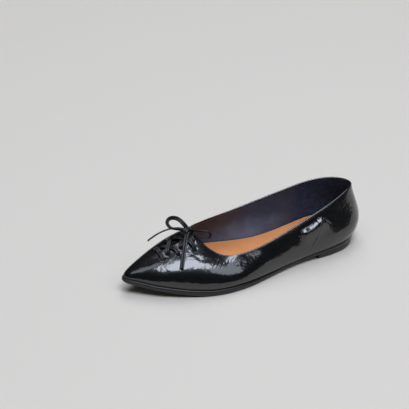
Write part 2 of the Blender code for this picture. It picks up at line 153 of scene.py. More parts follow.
def unit(vectors: Array) -> Array:
    """Gives vectors their unit length along the last axis."""
    vectors = np.asarray(vectors, float)
    return vectors / np.linalg.norm(vectors, axis=-1, keepdims=True)


def smoothstep(value: Array) -> Array:
    """Gives the soft step from 0 to 1 of a value between 0 and 1."""
    value = np.clip(value, 0.0, 1.0)
    return value * value * (3 - 2 * value)


def spline(knots: Array, values: Array, at: Array, closed: bool = False) -> Array:
    """Evaluates the cubic spline through values at knots.

    Args:
        knots: rising positions of the values; a closed spline has one more, where it is back at its start.
        values: one value for each knot.
        at: where the spline is wanted.
        closed: whether it runs round.

    Returns:
        The spline's values.
    """
    count = len(values)
    widths = np.diff(knots)
    spans = len(widths)
    matrix = np.eye(count)
    right = np.zeros(count)
    for i in range(0 if closed else 1, count if closed else count - 1):
        before, after = widths[(i - 1) % spans], widths[i % spans]
        previous, following = (i - 1) % count, (i + 1) % count
        matrix[i] = 0.0
        matrix[i, previous] += before
        matrix[i, i] += 2 * (before + after)
        matrix[i, following] += after
        right[i] = 6 * ((values[following] - values[i]) / after - (values[i] - values[previous]) / before)
    bend = np.linalg.solve(matrix, right)
    span = np.clip(np.searchsorted(knots, at, side="right") - 1, 0, spans - 1)
    following = (span + 1) % count
    width = widths[span]
    passed = at - knots[span]
    left = width - passed
    return ((bend[span] * left**3 + bend[following] * passed**3) / (6 * width)
            + (values[span] / width - bend[span] * width / 6) * left
            + (values[following] / width - bend[following] * width / 6) * passed)


def smooth_route(points: Array, spacing: float) -> Array:
    """Gives points at even spacing on the smooth curve through a route's own points.

    Args:
        points: the route's points, one row each.
        spacing: the distance wanted between two points.

    Returns:
        The points, one row each.
    """
    points = np.asarray(points, float)
    knots = np.concatenate([[0.0], np.cumsum(np.linalg.norm(np.diff(points, axis=0), axis=1))])
    at = np.linspace(0.0, knots[-1], max(4, int(round(knots[-1] / spacing)) + 1))
    return np.stack([spline(knots, points[:, axis], at) for axis in range(points.shape[1])], axis=1)


class Net(NamedTuple):
    """Points of a surface by meridian and row, with their outward normals."""

    points: Array
    normals: Array


@dataclass
class Last:
    """The form that the shoe is lasted on, the same as the solids'."""

    origin_station: float = 133.9 * MM
    origin_side: float = 3.3 * MM
    gap: float = 0.3 * MM
    wall: float = 2.0 * MM
    dense_meridians: int = 720
    dense_rows: int = 160
    close_ups: tuple = ((0.355, 0.04, 2.4), (0.13, 0.035, 1.8))   # centre, width and extra density
    dense: Net = field(init=False)

    def __post_init__(self) -> None:
        """Keeps a dense net of the outer surface for the searches."""
        grid = self.outer(self.dense_meridians, self.dense_rows)
        self.dense = Net(grid.reshape(-1, 3), self.normals_of(grid).reshape(-1, 3))

    def place(self, side: Array, station: Array, height: Array) -> Array:
        """Gives points of the shoe in the world, from metres."""
        return np.stack(np.broadcast_arrays(side - self.origin_side, self.origin_station - station, height), -1)

    def route(self, table: tuple) -> Array:
        """Gives a route's own points in the world from its table in millimetres."""
        side, station, height = np.array(table).T * MM
        return self.place(side, station, height)

    def station_of(self, points: Array) -> Array:
        """Gives the stations of world points."""
        return self.origin_station - points[..., 1]

    def sole_underside(self, stations: Array) -> Array:
        """Gives the height of the sole's underside."""
        knots, underside, _ = np.array(SOLE_PROFILE).T * MM
        return np.maximum(spline(knots, underside, stations), 0.0)

    def sole_top(self, stations: Array) -> Array:
        """Gives the height of the sole's top."""
        knots, _, thickness = np.array(SOLE_PROFILE).T * MM
        return self.sole_underside(stations) + spline(knots, thickness, stations)

    @staticmethod
    def plan_normals(loop: Array) -> Array:
        """Gives the outward plan normals of a loop that runs from the back round the outer side."""
        along = np.roll(loop, -1, 0) - np.roll(loop, 1, 0)
        return unit(np.stack([-along[:, 1], along[:, 0], np.zeros(len(loop))], axis=1))

    def shares(self, count: int, close_up: bool) -> Array:
        """Gives rising shares of the way round.

        Args:
            count: how many.
            close_up: whether they stand closer together where fine creases lie.

        Returns:
            The shares, from 0 up to less than 1.
        """
        if not close_up:
            return np.linspace(0.0, 1.0, count, endpoint=False)
        fine = np.linspace(0.0, 1.0, 4001)
        density = 1.0 + sum(extra * np.exp(-((fine - centre) / width)**2)
                            for centre, width, extra in self.close_ups)
        passed = np.concatenate([[0.0], np.cumsum((density[1:] + density[:-1]) / 2)])
        return np.interp(np.linspace(0.0, passed[-1], count, endpoint=False), passed, fine)

    def outer(self, meridians: int, rows: int, close_up: bool = False) -> Array:
        """Gives the upper's outer surface as a net from the feather line up to the collar.

        Args:
            meridians: how many ribs.
            rows: how many steps each of them has.
            close_up: whether the ribs stand closer together where fine creases lie.

        Returns:
            The net, as (meridian, row, axis).
        """
        column = dict(zip(Rib._fields, np.array(RIBS).T * MM))
        foot = np.stack([column["foot_x"], column["foot_s"]], axis=1)
        top = np.stack([column["top_x"], column["top_s"]], axis=1)
        steps = (np.linalg.norm(np.roll(foot, -1, 0) - foot, axis=1)
                 + np.linalg.norm(np.roll(top, -1, 0) - top, axis=1)) / 2
        knots = np.concatenate([[0.0], np.cumsum(steps)])
        at = knots[-1] * self.shares(meridians, close_up)
        value = {name: spline(knots, column[name], at, closed=True) for name in Rib._fields}
        low_end = self.place(value["foot_x"], value["foot_s"], self.sole_top(value["foot_s"]) + self.gap)
        high_end = self.place(value["top_x"], value["top_s"], value["top_z"])
        up = np.array([0.0, 0.0, 1.0])
        low = low_end + up * value["rise"][:, None] + self.plan_normals(low_end) * value["bulge"][:, None]
        high = high_end - up * value["drop"][:, None] + self.plan_normals(high_end) * value["reach"][:, None]
        t = np.linspace(0.0, 1.0, rows + 1)[None, :, None]
        return (low_end[:, None] * (1 - t)**3 + 3 * low[:, None] * t * (1 - t)**2
                + 3 * high[:, None] * t**2 * (1 - t) + high_end[:, None] * t**3)

    @staticmethod
    def normals_of(grid: Array) -> Array:
        """Gives the outward normals of a net that is closed round its meridians."""
        around = np.roll(grid, -1, 0) - np.roll(grid, 1, 0)
        return unit(np.cross(np.gradient(grid, axis=1), around))

    def net(self, meridians: int, near_collar: tuple, rest: int) -> Net:
        """Gives the outer surface with rows measured along it from the collar down.

        Args:
            meridians: how many ribs.
            near_collar: distances of the first rows from the collar, in metres.
            rest: how many rows share what is left down to the feather line.

        Returns:
            The net, the collar's row first.
        """
        grid = self.outer(meridians, self.dense_rows, close_up=True)
        normals = self.normals_of(grid)[:, ::-1]
        grid = grid[:, ::-1]
        steps = np.linalg.norm(np.diff(grid, axis=1), axis=2)
        depth = np.concatenate([np.zeros((meridians, 1)), np.cumsum(steps, axis=1)], axis=1)
        fixed = np.array(near_collar)
        share = np.linspace(0.0, 1.0, rest + 1)[1:]
        points, outward = [], []
        for i in range(meridians):
            wanted = np.concatenate([fixed, fixed[-1] + (depth[i, -1] - fixed[-1]) * share])
            points.append([np.interp(wanted, depth[i], grid[i, :, axis]) for axis in range(3)])
            outward.append([np.interp(wanted, depth[i], normals[i, :, axis]) for axis in range(3)])
        return Net(np.array(points).transpose(0, 2, 1), unit(np.array(outward).transpose(0, 2, 1)))

    def over(self, side: float, station: float, lift: float = 0.0) -> tuple[Array, Array]:
        """Finds the surface over a place of the plan.

        Args:
            side: the place's side in millimetres.
            station: its station in millimetres.
            lift: how far from the surface the point lies, in millimetres.

        Returns:
            The point in the world and the surface's normal there.
        """
        target = self.place(side * MM, station * MM, 0.0)
        offset = target[:2] - self.dense.points[:, :2]
        nearest = (offset**2).sum(axis=1).argmin()
        normal = self.dense.normals[nearest]
        height = self.dense.points[nearest][2] - (normal[:2] * offset[nearest]).sum() / normal[2]
        return np.array([target[0], target[1], height]) + normal * lift * MM, normal

    def onto(self, points: Array) -> Array:
        """Moves world points onto the nearest points of the surface."""
        found = [((self.dense.points - point)**2).sum(axis=1).argmin() for point in points]
        return self.dense.points[found]

    def outline(self, count: int, first: float, last: float) -> tuple[Array, Array]:
        """Gives the feather line's two sides at shared stations.

        Args:
            count: how many stations, closer together at both ends.
            first: the lowest station.
            last: the highest station.

        Returns:
            Points and plan normals, each as (side, station, axis), the outer side first.
        """
        loop = self.outer(self.dense_meridians * 4, 1)[:, 0]
        normals = self.plan_normals(loop)
        stations = self.station_of(loop)
        back, toe = stations.argmin(), stations.argmax()
        margin = 0.05 * MM
        first, last = max(first, stations[back] + margin), min(last, stations[toe] - margin)
        wanted = first + (last - first) * (1 - np.cos(np.linspace(0, np.pi, count))) / 2
        order = np.roll(np.arange(len(loop)), -back)
        turn = (toe - back) % len(loop)
        points, outward = [], []
        for indices in (order[:turn + 1], np.append(order[turn:], order[0])[::-1]):
            known = stations[indices]
            points.append(np.stack([np.interp(wanted, known, loop[indices, k]) for k in range(3)], 1))
            outward.append(unit(np.stack([np.interp(wanted, known, normals[indices, k]) for k in range(3)], 1)))
        return np.array(points), np.array(outward)


def linear(code: str) -> tuple[float, float, float, float]:
    """Turns an sRGB colour into linear values.

    Args:
        code: the colour as #rrggbb.

    Returns:
        Red, green, blue and full alpha.
    """
    parts = [int(code[i:i + 2], 16) / 255 for i in (1, 3, 5)]
    values = [p / 12.92 if p <= 0.04045 else ((p + 0.055) / 1.055)**2.4 for p in parts]
    return (*values, 1.0)


def per_size(millimetres: float) -> float:
    """Gives the scale of a pattern whose features are this many millimetres wide."""
    return 1.0 / (millimetres * MM)


def add_node(tree: bpy.types.NodeTree, kind: str, inputs: dict | None = None, **settings) -> bpy.types.Node:
    """Adds a node with its settings and links.

    Args:
        tree: the material's or world's node tree.
        kind: the node's type name.
        inputs: for each input's name or number, a value or the socket that is linked to it.
        settings: the node's own properties.

    Returns:
        The node.
    """
    node = tree.nodes.new(kind)
    for name, value in settings.items():
        setattr(node, name, value)
    for key, value in (inputs or {}).items():
        if isinstance(value, bpy.types.NodeSocket):
            tree.links.new(value, node.inputs[key])
        else:
            node.inputs[key].default_value = value
    return node


def new_material(name: str) -> tuple[bpy.types.Material, bpy.types.NodeTree, bpy.types.Node]:
    """Adds a material.

    Args:
        name: the material's name.

    Returns:
        The material, its node tree and its shader.
    """
    material = bpy.data.materials.new(name)
    material.use_nodes = True
    tree = material.node_tree
    return material, tree, tree.nodes["Principled BSDF"]


def set_shader(tree: bpy.types.NodeTree, shader: bpy.types.Node, values: dict) -> None:
    """Sets or links the shader's inputs.

    Args:
        tree: the material's node tree.
        shader: the shader.
        values: for each input's name, a value or the socket that is linked to it.
    """
    for key, value in values.items():
        if isinstance(value, bpy.types.NodeSocket):
            tree.links.new(value, shader.inputs[key])
        else:
            shader.inputs[key].default_value = value


def ramp(tree: bpy.types.NodeTree, factor: bpy.types.NodeSocket, stops: tuple) -> bpy.types.NodeSocket:
    """Adds a colour ramp.

    Args:
        tree: the material's node tree.
        factor: the socket that drives it.
        stops: position and sRGB hex colour of each stop.

    Returns:
        The ramp's colour socket.
    """
    node = add_node(tree, "ShaderNodeValToRGB", {"Fac": factor})
    while len(node.color_ramp.elements) < len(stops):
        node.color_ramp.elements.new(0.5)
    for element, (position, colour) in zip(node.color_ramp.elements, stops):
        element.position = position
        element.color = linear(colour)
    return node.outputs["Color"]


@dataclass(frozen=True)
class CrinkledGlossLeather:
    """Black calf with a sealed glossy finish, crinkled: soft folds a few millimetres apart break the shine."""

    name: str = "crinkled_gloss_leather"
    colour: str = "#050506"
    worn: str = "#0b0b0d"
    fold: float = 8.0
    crinkle: float = 2.6
    pore: float = 0.9      # real pores are 0.3 mm, drawn coarser to show
    fold_depth: float = 0.34
    crinkle_depth: float = 0.09
    pore_depth: float = 0.006
    drift: float = 0.004   # metres that the folds wander, so that they don't look combed
    dull: tuple = (0.3, 0.4)   # roughness under the clear finish, on the folds and between them
    finish_roughness: float = 0.09
    finish_ior: float = 1.68   # a thick sealed finish shines more than bare leather

    def build(self) -> bpy.types.Material:
        """Builds the material and gives it."""
        material, tree, shader = new_material(self.name)
        place = add_node(tree, "ShaderNodeTexCoord").outputs["Object"]
        drift = add_node(tree, "ShaderNodeTexNoise", {"Vector": place, "Scale": per_size(self.fold * 2),
                                                      "Detail": 2.0, "Roughness": 0.5})
        bent = add_node(tree, "ShaderNodeVectorMath", {0: drift.outputs["Color"], 1: (self.drift,) * 3},
                        operation="MULTIPLY")
        warped = add_node(tree, "ShaderNodeVectorMath", {0: place, 1: bent.outputs[0]}, operation="ADD")
        folds = add_node(tree, "ShaderNodeTexNoise", {"Vector": warped.outputs[0], "Scale": per_size(self.fold),
                                                      "Detail": 2.0, "Roughness": 0.45})
        crinkles = add_node(tree, "ShaderNodeTexNoise",
                            {"Vector": warped.outputs[0], "Scale": per_size(self.crinkle), "Detail": 3.0,
                             "Roughness": 0.55})
        ridged = add_node(tree, "ShaderNodeMath", {0: crinkles.outputs["Fac"], 1: 0.5}, operation="SUBTRACT")
        creased = add_node(tree, "ShaderNodeMath", {0: ridged.outputs[0]}, operation="ABSOLUTE")
        pores = add_node(tree, "ShaderNodeTexVoronoi", {"Vector": place, "Scale": per_size(self.pore)})
        first = add_node(tree, "ShaderNodeBump", {"Height": folds.outputs["Fac"], "Strength": 1.0,
                                                  "Distance": self.fold_depth * MM})
        second = add_node(tree, "ShaderNodeBump", {"Height": creased.outputs[0], "Strength": 1.0,
                                                   "Distance": self.crinkle_depth * MM,
                                                   "Normal": first.outputs["Normal"]})
        third = add_node(tree, "ShaderNodeBump", {"Height": pores.outputs["Distance"], "Strength": 1.0,
                                                  "Distance": self.pore_depth * MM,
                                                  "Normal": second.outputs["Normal"]})
        rough = add_node(tree, "ShaderNodeMapRange", {"Value": folds.outputs["Fac"], "From Min": 0.3,
                                                      "From Max": 0.7, "To Min": self.dull[0],
                                                      "To Max": self.dull[1]})
        set_shader(tree, shader, {
            "Base Color": ramp(tree, crinkles.outputs["Fac"], ((0.35, self.colour), (0.75, self.worn))),
            "Roughness": rough.outputs["Result"],
            "Specular IOR Level": 0.13,
            "Coat Weight": 1.0,
            "Coat Roughness": self.finish_roughness,
            "Coat IOR": self.finish_ior,
            "Normal": third.outputs["Normal"],
            "Coat Normal": second.outputs["Normal"],
        })
        return material


@dataclass(frozen=True)
class LiningLeather:
    """Dark navy lining leather with a suede grip at the heel: smooth and dull in front, nappy at the back, with
    a painted sheen, a lighter bluish patch low on the wall.
    """

    name: str = "navy_lining_leather"
    smooth: str = "#333b4e"
    smooth_light: str = "#40485c"
    # painted sheen: colour of the lighter patch that stands in for the light on the lower wall
    painted_sheen_colour: str = "#6d7a92"
    painted_sheen_centre: tuple = (-0.0273, 0.012, 0.012)    # centre of the painted sheen, where the wall turns up and would catch the light
    painted_sheen_reach: tuple = (0.034, 0.06, 0.026)
    suede: str = "#1d2434"
    suede_light: str = "#3d4a66"
    grip_end: float = 0.074     # world y beyond which the grip's suede shows
    grip_blend: float = 0.006
    grain: float = 1.6
    grain_depth: float = 0.05
    nap: float = 5.0
    nap_depth: float = 0.3
    sheen: str = "#8fa2d0"      # the short fibres scatter a little cold light

    def build(self) -> bpy.types.Material:
        """Builds the material and gives it."""
        material, tree, shader = new_material(self.name)
        place = add_node(tree, "ShaderNodeTexCoord").outputs["Object"]
        parts = add_node(tree, "ShaderNodeSeparateXYZ", {0: place})
        grip = add_node(tree, "ShaderNodeMapRange", {"Value": parts.outputs["Y"],
                                                     "From Min": self.grip_end - self.grip_blend,
                                                     "From Max": self.grip_end + self.grip_blend}
                        ).outputs["Result"]
        grain = add_node(tree, "ShaderNodeTexVoronoi", {"Vector": place, "Scale": per_size(self.grain)})
        cloud = add_node(tree, "ShaderNodeTexNoise", {"Vector": place, "Scale": per_size(self.nap * 3),
                                                      "Detail": 3.0})
        nap = add_node(tree, "ShaderNodeTexNoise", {"Vector": place, "Scale": per_size(self.nap), "Detail": 8.0,
                                                    "Roughness": 0.75})
        # painted sheen: a lighter bluish patch, broken into streaks by the clouds, stands in for the light that
        # the lower wall catches
        offset = add_node(tree, "ShaderNodeVectorMath", {0: place, 1: self.painted_sheen_centre}, operation="SUBTRACT")
        share = add_node(tree, "ShaderNodeVectorMath", {0: offset.outputs[0], 1: self.painted_sheen_reach},
                         operation="DIVIDE")
        away = add_node(tree, "ShaderNodeVectorMath", {0: share.outputs[0]}, operation="LENGTH")
        painted_sheen_streaks = add_node(tree, "ShaderNodeMath", {0: away.outputs["Value"], 1: cloud.outputs["Fac"]},
                           operation="ADD")
        painted_sheen_mask = add_node(tree, "ShaderNodeMapRange", {"Value": painted_sheen_streaks.outputs[0], "From Min": 0.4,
                                                      "From Max": 1.6, "To Min": 1.0, "To Max": 0.0},
                         interpolation_type="SMOOTHSTEP")
        plain = ramp(tree, cloud.outputs["Fac"], ((0.3, self.smooth), (0.7, self.smooth_light)))
        smooth = add_node(tree, "ShaderNodeMix", {"Factor": painted_sheen_mask.outputs["Result"], 6: plain,
                                                  7: linear(self.painted_sheen_colour)}, data_type="RGBA").outputs[2]
        suede = ramp(tree, nap.outputs["Fac"], ((0.35, self.suede), (0.75, self.suede_light)))
        colour = add_node(tree, "ShaderNodeMix", {"Factor": grip, 6: smooth, 7: suede}, data_type="RGBA")
        rough = add_node(tree, "ShaderNodeMapRange", {"Value": grip, "To Min": 0.42, "To Max": 0.85})
        low = add_node(tree, "ShaderNodeBump", {"Height": grain.outputs["Distance"], "Strength": 0.5,
                                                "Distance": self.grain_depth * MM})
        high = add_node(tree, "ShaderNodeBump", {"Height": nap.outputs["Fac"], "Strength": grip,
                                                 "Distance": self.nap_depth * MM,
                                                 "Normal": low.outputs["Normal"]})
        set_shader(tree, shader, {"Base Color": colour.outputs[2], "Roughness": rough.outputs["Result"],
                                  "Specular IOR Level": 0.3, "Sheen Weight": 0.12, "Sheen Roughness": 0.5,
                                  "Sheen Tint": linear(self.sheen), "Normal": high.outputs["Normal"]})
        return material


@dataclass(frozen=True)
class InsoleLeather:
    """Vegetable-tanned insole leather, rolled smooth: warm tan, nearly matt, with a faint fine grain."""

    name: str = "tan_insole_leather"
    colour: str = "#de9057"
    light: str = "#e89c64"
    cloud: float = 22.0
    grain: float = 1.4
    grain_depth: float = 0.08
    groove_side: float = -0.0045     # world x of the soft groove that runs along the heel half
    groove_width: float = 0.0016
    groove_depth: float = 0.25
    groove_start: tuple = (0.02, 0.04)     # world y between which the groove sinks in

    def build(self) -> bpy.types.Material:
        """Builds the material and gives it."""
        material, tree, shader = new_material(self.name)
        place = add_node(tree, "ShaderNodeTexCoord").outputs["Object"]
        parts = add_node(tree, "ShaderNodeSeparateXYZ", {0: place})
        aside = add_node(tree, "ShaderNodeMath", {0: parts.outputs["X"], 1: self.groove_side},
                         operation="SUBTRACT")
        away = add_node(tree, "ShaderNodeMath", {0: aside.outputs[0]}, operation="ABSOLUTE")
        groove = add_node(tree, "ShaderNodeMapRange", {"Value": away.outputs[0], "From Max": self.groove_width},
                          interpolation_type="SMOOTHSTEP")
        heel = add_node(tree, "ShaderNodeMapRange", {"Value": parts.outputs["Y"],
                                                     "From Min": self.groove_start[0],
                                                     "From Max": self.groove_start[1]})
        soft = add_node(tree, "ShaderNodeBump", {"Height": groove.outputs["Result"],
                                                 "Distance": self.groove_depth * MM,
                                                 "Strength": heel.outputs["Result"]})
        cloud = add_node(tree, "ShaderNodeTexNoise", {"Vector": place, "Scale": per_size(self.cloud),
                                                      "Detail": 3.0})
        grain = add_node(tree, "ShaderNodeTexNoise", {"Vector": place, "Scale": per_size(self.grain),
                                                      "Detail": 4.0})
        bump = add_node(tree, "ShaderNodeBump", {"Height": grain.outputs["Fac"], "Strength": 0.4,
                                                 "Distance": self.grain_depth * MM,
                                                 "Normal": soft.outputs["Normal"]})
        set_shader(tree, shader, {
            "Base Color": ramp(tree, cloud.outputs["Fac"], ((0.3, self.colour), (0.7, self.light))),
            "Roughness": 0.55, "IOR": 1.45, "Normal": bump.outputs["Normal"]})
        return material


@dataclass(frozen=True)
class PlainBlack:
    """A black part with a fine surface: painted sole edge, rubber heel, waxed lace or bonded thread."""

    name: str
    colour: str
    light: str
    roughness: float
    coat: float
    grain: float
    depth: float

    def build(self) -> bpy.types.Material:
        """Builds the material and gives it."""
        material, tree, shader = new_material(self.name)
        place = add_node(tree, "ShaderNodeTexCoord").outputs["Object"]
        grain = add_node(tree, "ShaderNodeTexNoise", {"Vector": place, "Scale": per_size(self.grain),
                                                      "Detail": 4.0, "Roughness": 0.6})
        bump = add_node(tree, "ShaderNodeBump", {"Height": grain.outputs["Fac"], "Strength": 1.0,
                                                 "Distance": self.depth * MM})
        rough = add_node(tree, "ShaderNodeMapRange",
                         {"Value": grain.outputs["Fac"], "From Min": 0.3, "From Max": 0.7,
                          "To Min": self.roughness * 0.85, "To Max": self.roughness * 1.2})
        set_shader(tree, shader, {
            "Base Color": ramp(tree, grain.outputs["Fac"], ((0.3, self.colour), (0.7, self.light))),
            "Roughness": rough.outputs["Result"], "IOR": 1.5, "Coat Weight": self.coat,
            "Coat Roughness": 0.2, "Normal": bump.outputs["Normal"]})
        return material


class Finish(Enum):
    """The shoe's finishes."""

    LEATHER = CrinkledGlossLeather()
    LINING = LiningLeather()
    INSOLE = InsoleLeather()
    SOLE_EDGE = PlainBlack("painted_sole_edge", "#100e0d", "#1a1715", 0.34, 0.1, 1.5, 0.03)
    HEEL_RUBBER = PlainBlack("moulded_heel_rubber", "#0d0d0d", "#171717", 0.42, 0.1, 1.2, 0.03)
    LACE = PlainBlack("waxed_lace_leather", "#060607", "#0c0c0d", 0.38, 0.0, 1.0, 0.03)
    # The thread's grey is lighter than black thread. It is partly its own colour and partly a painted highlight
    # for the light that the stitches catch.
    THREAD = PlainBlack("bonded_dark_thread", "#35373d", "#52555c", 0.45, 0.0, 0.6, 0.05)


MATERIALS: dict[Finish, bpy.types.Material] = {}


def deselect_all() -> None:
    """Leaves nothing selected."""
    bpy.ops.object.select_all(action="DESELECT")


def activate(piece: bpy.types.Object) -> None:
    """Selects one object alone and makes it active."""
    deselect_all()
    piece.select_set(True)
    bpy.context.view_layer.objects.active = piece


def apply_modifier(piece: bpy.types.Object, kind: str, **settings) -> None:
    """Adds a modifier and applies it.

    Args:
        piece: the object.
        kind: the modifier's type name.
        settings: the modifier's own properties.
    """
    modifier = piece.modifiers.new(kind.lower(), kind)
    for name, value in settings.items():
        setattr(modifier, name, value)
    activate(piece)
    bpy.ops.object.modifier_apply(modifier=modifier.name)


def merge_doubles(piece: bpy.types.Object) -> None:
    """Merges a mesh's doubled vertices and turns its faces outwards.

    Args:
        piece: the object whose mesh it is.
    """
    activate(piece)
    bpy.ops.object.mode_set(mode="EDIT")
    bpy.ops.mesh.select_all(action="SELECT")
    bpy.ops.mesh.remove_doubles(threshold=WELD)
    bpy.ops.mesh.normals_make_consistent(inside=False)
    bpy.ops.object.mode_set(mode="OBJECT")


def close_rims(piece: bpy.types.Object) -> None:
    """Closes each open rim of a mesh with a face.

    Args:
        piece: the object whose mesh it is.
    """
    activate(piece)
    bpy.ops.object.mode_set(mode="EDIT")
    bpy.ops.mesh.select_all(action="DESELECT")
    bpy.ops.mesh.select_mode(type="EDGE")
    bpy.ops.mesh.select_non_manifold(extend=False)
    bpy.ops.mesh.edge_face_add()
    bpy.ops.mesh.select_all(action="SELECT")
    bpy.ops.mesh.normals_make_consistent(inside=False)
    bpy.ops.object.mode_set(mode="OBJECT")


def join_pieces(name: str, parts: list[bpy.types.Object]) -> bpy.types.Object:
    """Joins objects in one.

    Args:
        name: the joined piece's name.
        parts: the objects, all at the origin.

    Returns:
        The piece.
    """
    deselect_all()
    for part in parts:
        part.select_set(True)
    bpy.context.view_layer.objects.active = parts[0]
    bpy.ops.object.join()
    piece = bpy.context.object
    piece.name = name
    piece.data.name = name
    return piece


def lay_grid(name: str, net: Array) -> bpy.types.Object:
    """Adds a grid primitive and lays it on a net of points; its UV map runs round and along the net.

    Args:
        name: the piece's name.
        net: points by column and row. A net that is closed repeats its first column or row at its end.

    Returns:
        The piece, with doubles merged and its faces pointing out.
    """
    columns, rows = net.shape[0] - 1, net.shape[1] - 1
    deselect_all()
    bpy.ops.mesh.primitive_grid_add(x_subdivisions=columns, y_subdivisions=rows, size=1.0)
    piece = bpy.context.object
    piece.name = name
    mesh = piece.data
    mesh.name = name
    flat = np.zeros(len(mesh.vertices) * 3)
    mesh.vertices.foreach_get("co", flat)
    flat = flat.reshape(-1, 3)
    low, high = flat.min(0), flat.max(0)
    column = np.rint((flat[:, 0] - low[0]) / (high[0] - low[0]) * columns).astype(int)
    row = np.rint((flat[:, 1] - low[1]) / (high[1] - low[1]) * rows).astype(int)
    mesh.vertices.foreach_set("co", net[column, row].ravel())
    merge_doubles(piece)
    return piece


def finish_piece(piece: bpy.types.Object, finish: Finish, replaced: tuple = (),
                 angle: float = 40.0) -> bpy.types.Object:
    """Shades and dresses a piece, and seats it on the shoe's one body.

    Args:
        piece: the finished mesh.
        finish: its finish.
        replaced: the CAD nodes that it stands for.
        angle: edges sharper than this stay sharp, in degrees.

    Returns:
        The piece.
    """
    activate(piece)
    bpy.ops.object.shade_smooth_by_angle(angle=math.radians(angle))
    piece.data.materials.clear()
    piece.data.materials.append(MATERIALS[finish])
    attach(piece, "root")
    if replaced:
        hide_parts(*replaced)
    LOG.info("%s: %d triangles", piece.name, sum(len(p.vertices) - 2 for p in piece.data.polygons))
    return piece


class Crease(NamedTuple):
    """A soft trough over the leather, with a ridge on each side."""

    points: tuple            # side, station and height in millimetres, snapped onto the leather
    width: float             # millimetres
    depth: float             # millimetres, negative for a raised fold


# Soft creases, from the throat back to the quarter, then the seams
CREASES = (
    # pucker beside the last hole, and the small ones behind it
    Crease(((15.5, 199.5, 37.5), (19.1, 197.7, 35.1), (22.3, 195.4, 33.3), (24.6, 191.6, 32.0),
            (24.7, 187.5, 32.0), (23.0, 184.0, 33.2)), 2.2, 0.12),
    Crease(((17.2, 191.3, 36.5), (18.6, 187.8, 35.6), (18.6, 182.2, 35.2)), 1.0, 0.16),
    Crease(((20.7, 190.0, 34.4), (21.3, 185.9, 34.0), (21.5, 181.1, 33.5)), 1.0, 0.18),
    # fan of fine parallel creases at the outer throat
    Crease(((32.9, 187.5, 26.5), (31.6, 184.1, 27.8), (29.8, 181.7, 29.1)), 0.55, 0.13),
    Crease(((32.2, 186.0, 27.2), (29.2, 181.7, 29.6), (25.7, 176.7, 31.3)), 0.6, 0.17),
    Crease(((34.5, 184.1, 25.5), (31.3, 179.6, 28.3), (27.6, 175.5, 30.4)), 0.65, 0.22),
    Crease(((35.0, 182.3, 25.3), (31.7, 177.9, 28.1), (28.1, 173.5, 30.2)), 0.6, 0.2),
    Crease(((35.7, 180.1, 25.0), (33.0, 176.6, 27.3), (30.0, 173.2, 29.3)), 0.65, 0.2),
    Crease(((31.9, 169.2, 28.5), (30.6, 167.1, 29.4), (29.5, 165.2, 30.2)), 0.7, 0.13),
    Crease(((33.0, 166.5, 28.1), (31.6, 164.4, 29.2), (30.7, 161.8, 30.0)), 0.7, 0.14),
    Crease(((37.3, 165.3, 25.1), (35.8, 163.1, 26.5), (34.4, 161.3, 27.7)), 0.9, 0.13),
    # crumple under the collar of the quarter
    Crease(((27.6, 76.8, 41.8), (28.6, 76.0, 39.0), (29.4, 75.3, 35.8)), 0.9, 0.05),
    Crease(((27.2, 74.2, 42.8), (28.2, 73.2, 40.0), (29.0, 72.3, 36.9)), 0.9, 0.05),
    Crease(((26.8, 70.5, 43.7), (27.6, 69.8, 41.2), (28.3, 69.0, 38.9)), 0.9, 0.05),
    Crease(((26.1, 67.1, 45.8), (26.9, 66.2, 43.2), (27.6, 65.3, 40.7)), 0.9, 0.05),
    Crease(((28.2, 82.5, 40.2), (29.0, 81.5, 37.4), (29.8, 80.6, 34.6)), 1.0, 0.08),
    Crease(((29.4, 87.2, 36.8), (29.8, 86.6, 35.2), (30.2, 86.0, 33.7)), 0.9, 0.1),
    Crease(((29.6, 90.5, 36.4), (30.1, 89.9, 34.5), (30.6, 89.3, 32.7)), 0.9, 0.12),
    # wrinkles of the waist
    Crease(((41.0, 160.5, 24.5), (39.2, 159.2, 26.7), (36.5, 157.5, 29.5)), 1.6, 0.12),
    Crease(((43.0, 137.5, 20.0), (41.5, 136.2, 22.4), (38.5, 134.0, 27.0)), 1.8, 0.12),
    # seams of the counter, outer and inner side, and of the inner waist
    Crease(((23.9, 54.9, 51.5), (24.3, 55.6, 49.7), (26.4, 59.7, 43.6), (28.2, 63.0, 38.4),
            (30.6, 66.6, 31.1), (32.9, 73.3, 22.2), (33.7, 79.0, 9.9)), 0.6, 0.4),
    Crease(((-26.5, 54.9, 55.5), (-28.0, 59.7, 45.0), (-28.5, 65.0, 33.0), (-27.0, 73.0, 21.0),
            (-25.5, 79.0, 10.0)), 0.45, 0.2),
    Crease(((-28.0, 110.0, 47.0), (-28.0, 111.0, 38.0), (-26.5, 112.0, 26.0), (-25.0, 113.0, 12.0)),
           0.45, 0.18),
)


# Crest of the fold under the collar, from the counter's seam forward
FOLD_CREST = ((24.8, 56.0, 48.6), (26.4, 59.6, 44.0), (27.8, 65.5, 39.8), (28.8, 73.0, 37.0),
              (29.2, 81.0, 35.4), (29.6, 90.0, 34.0))


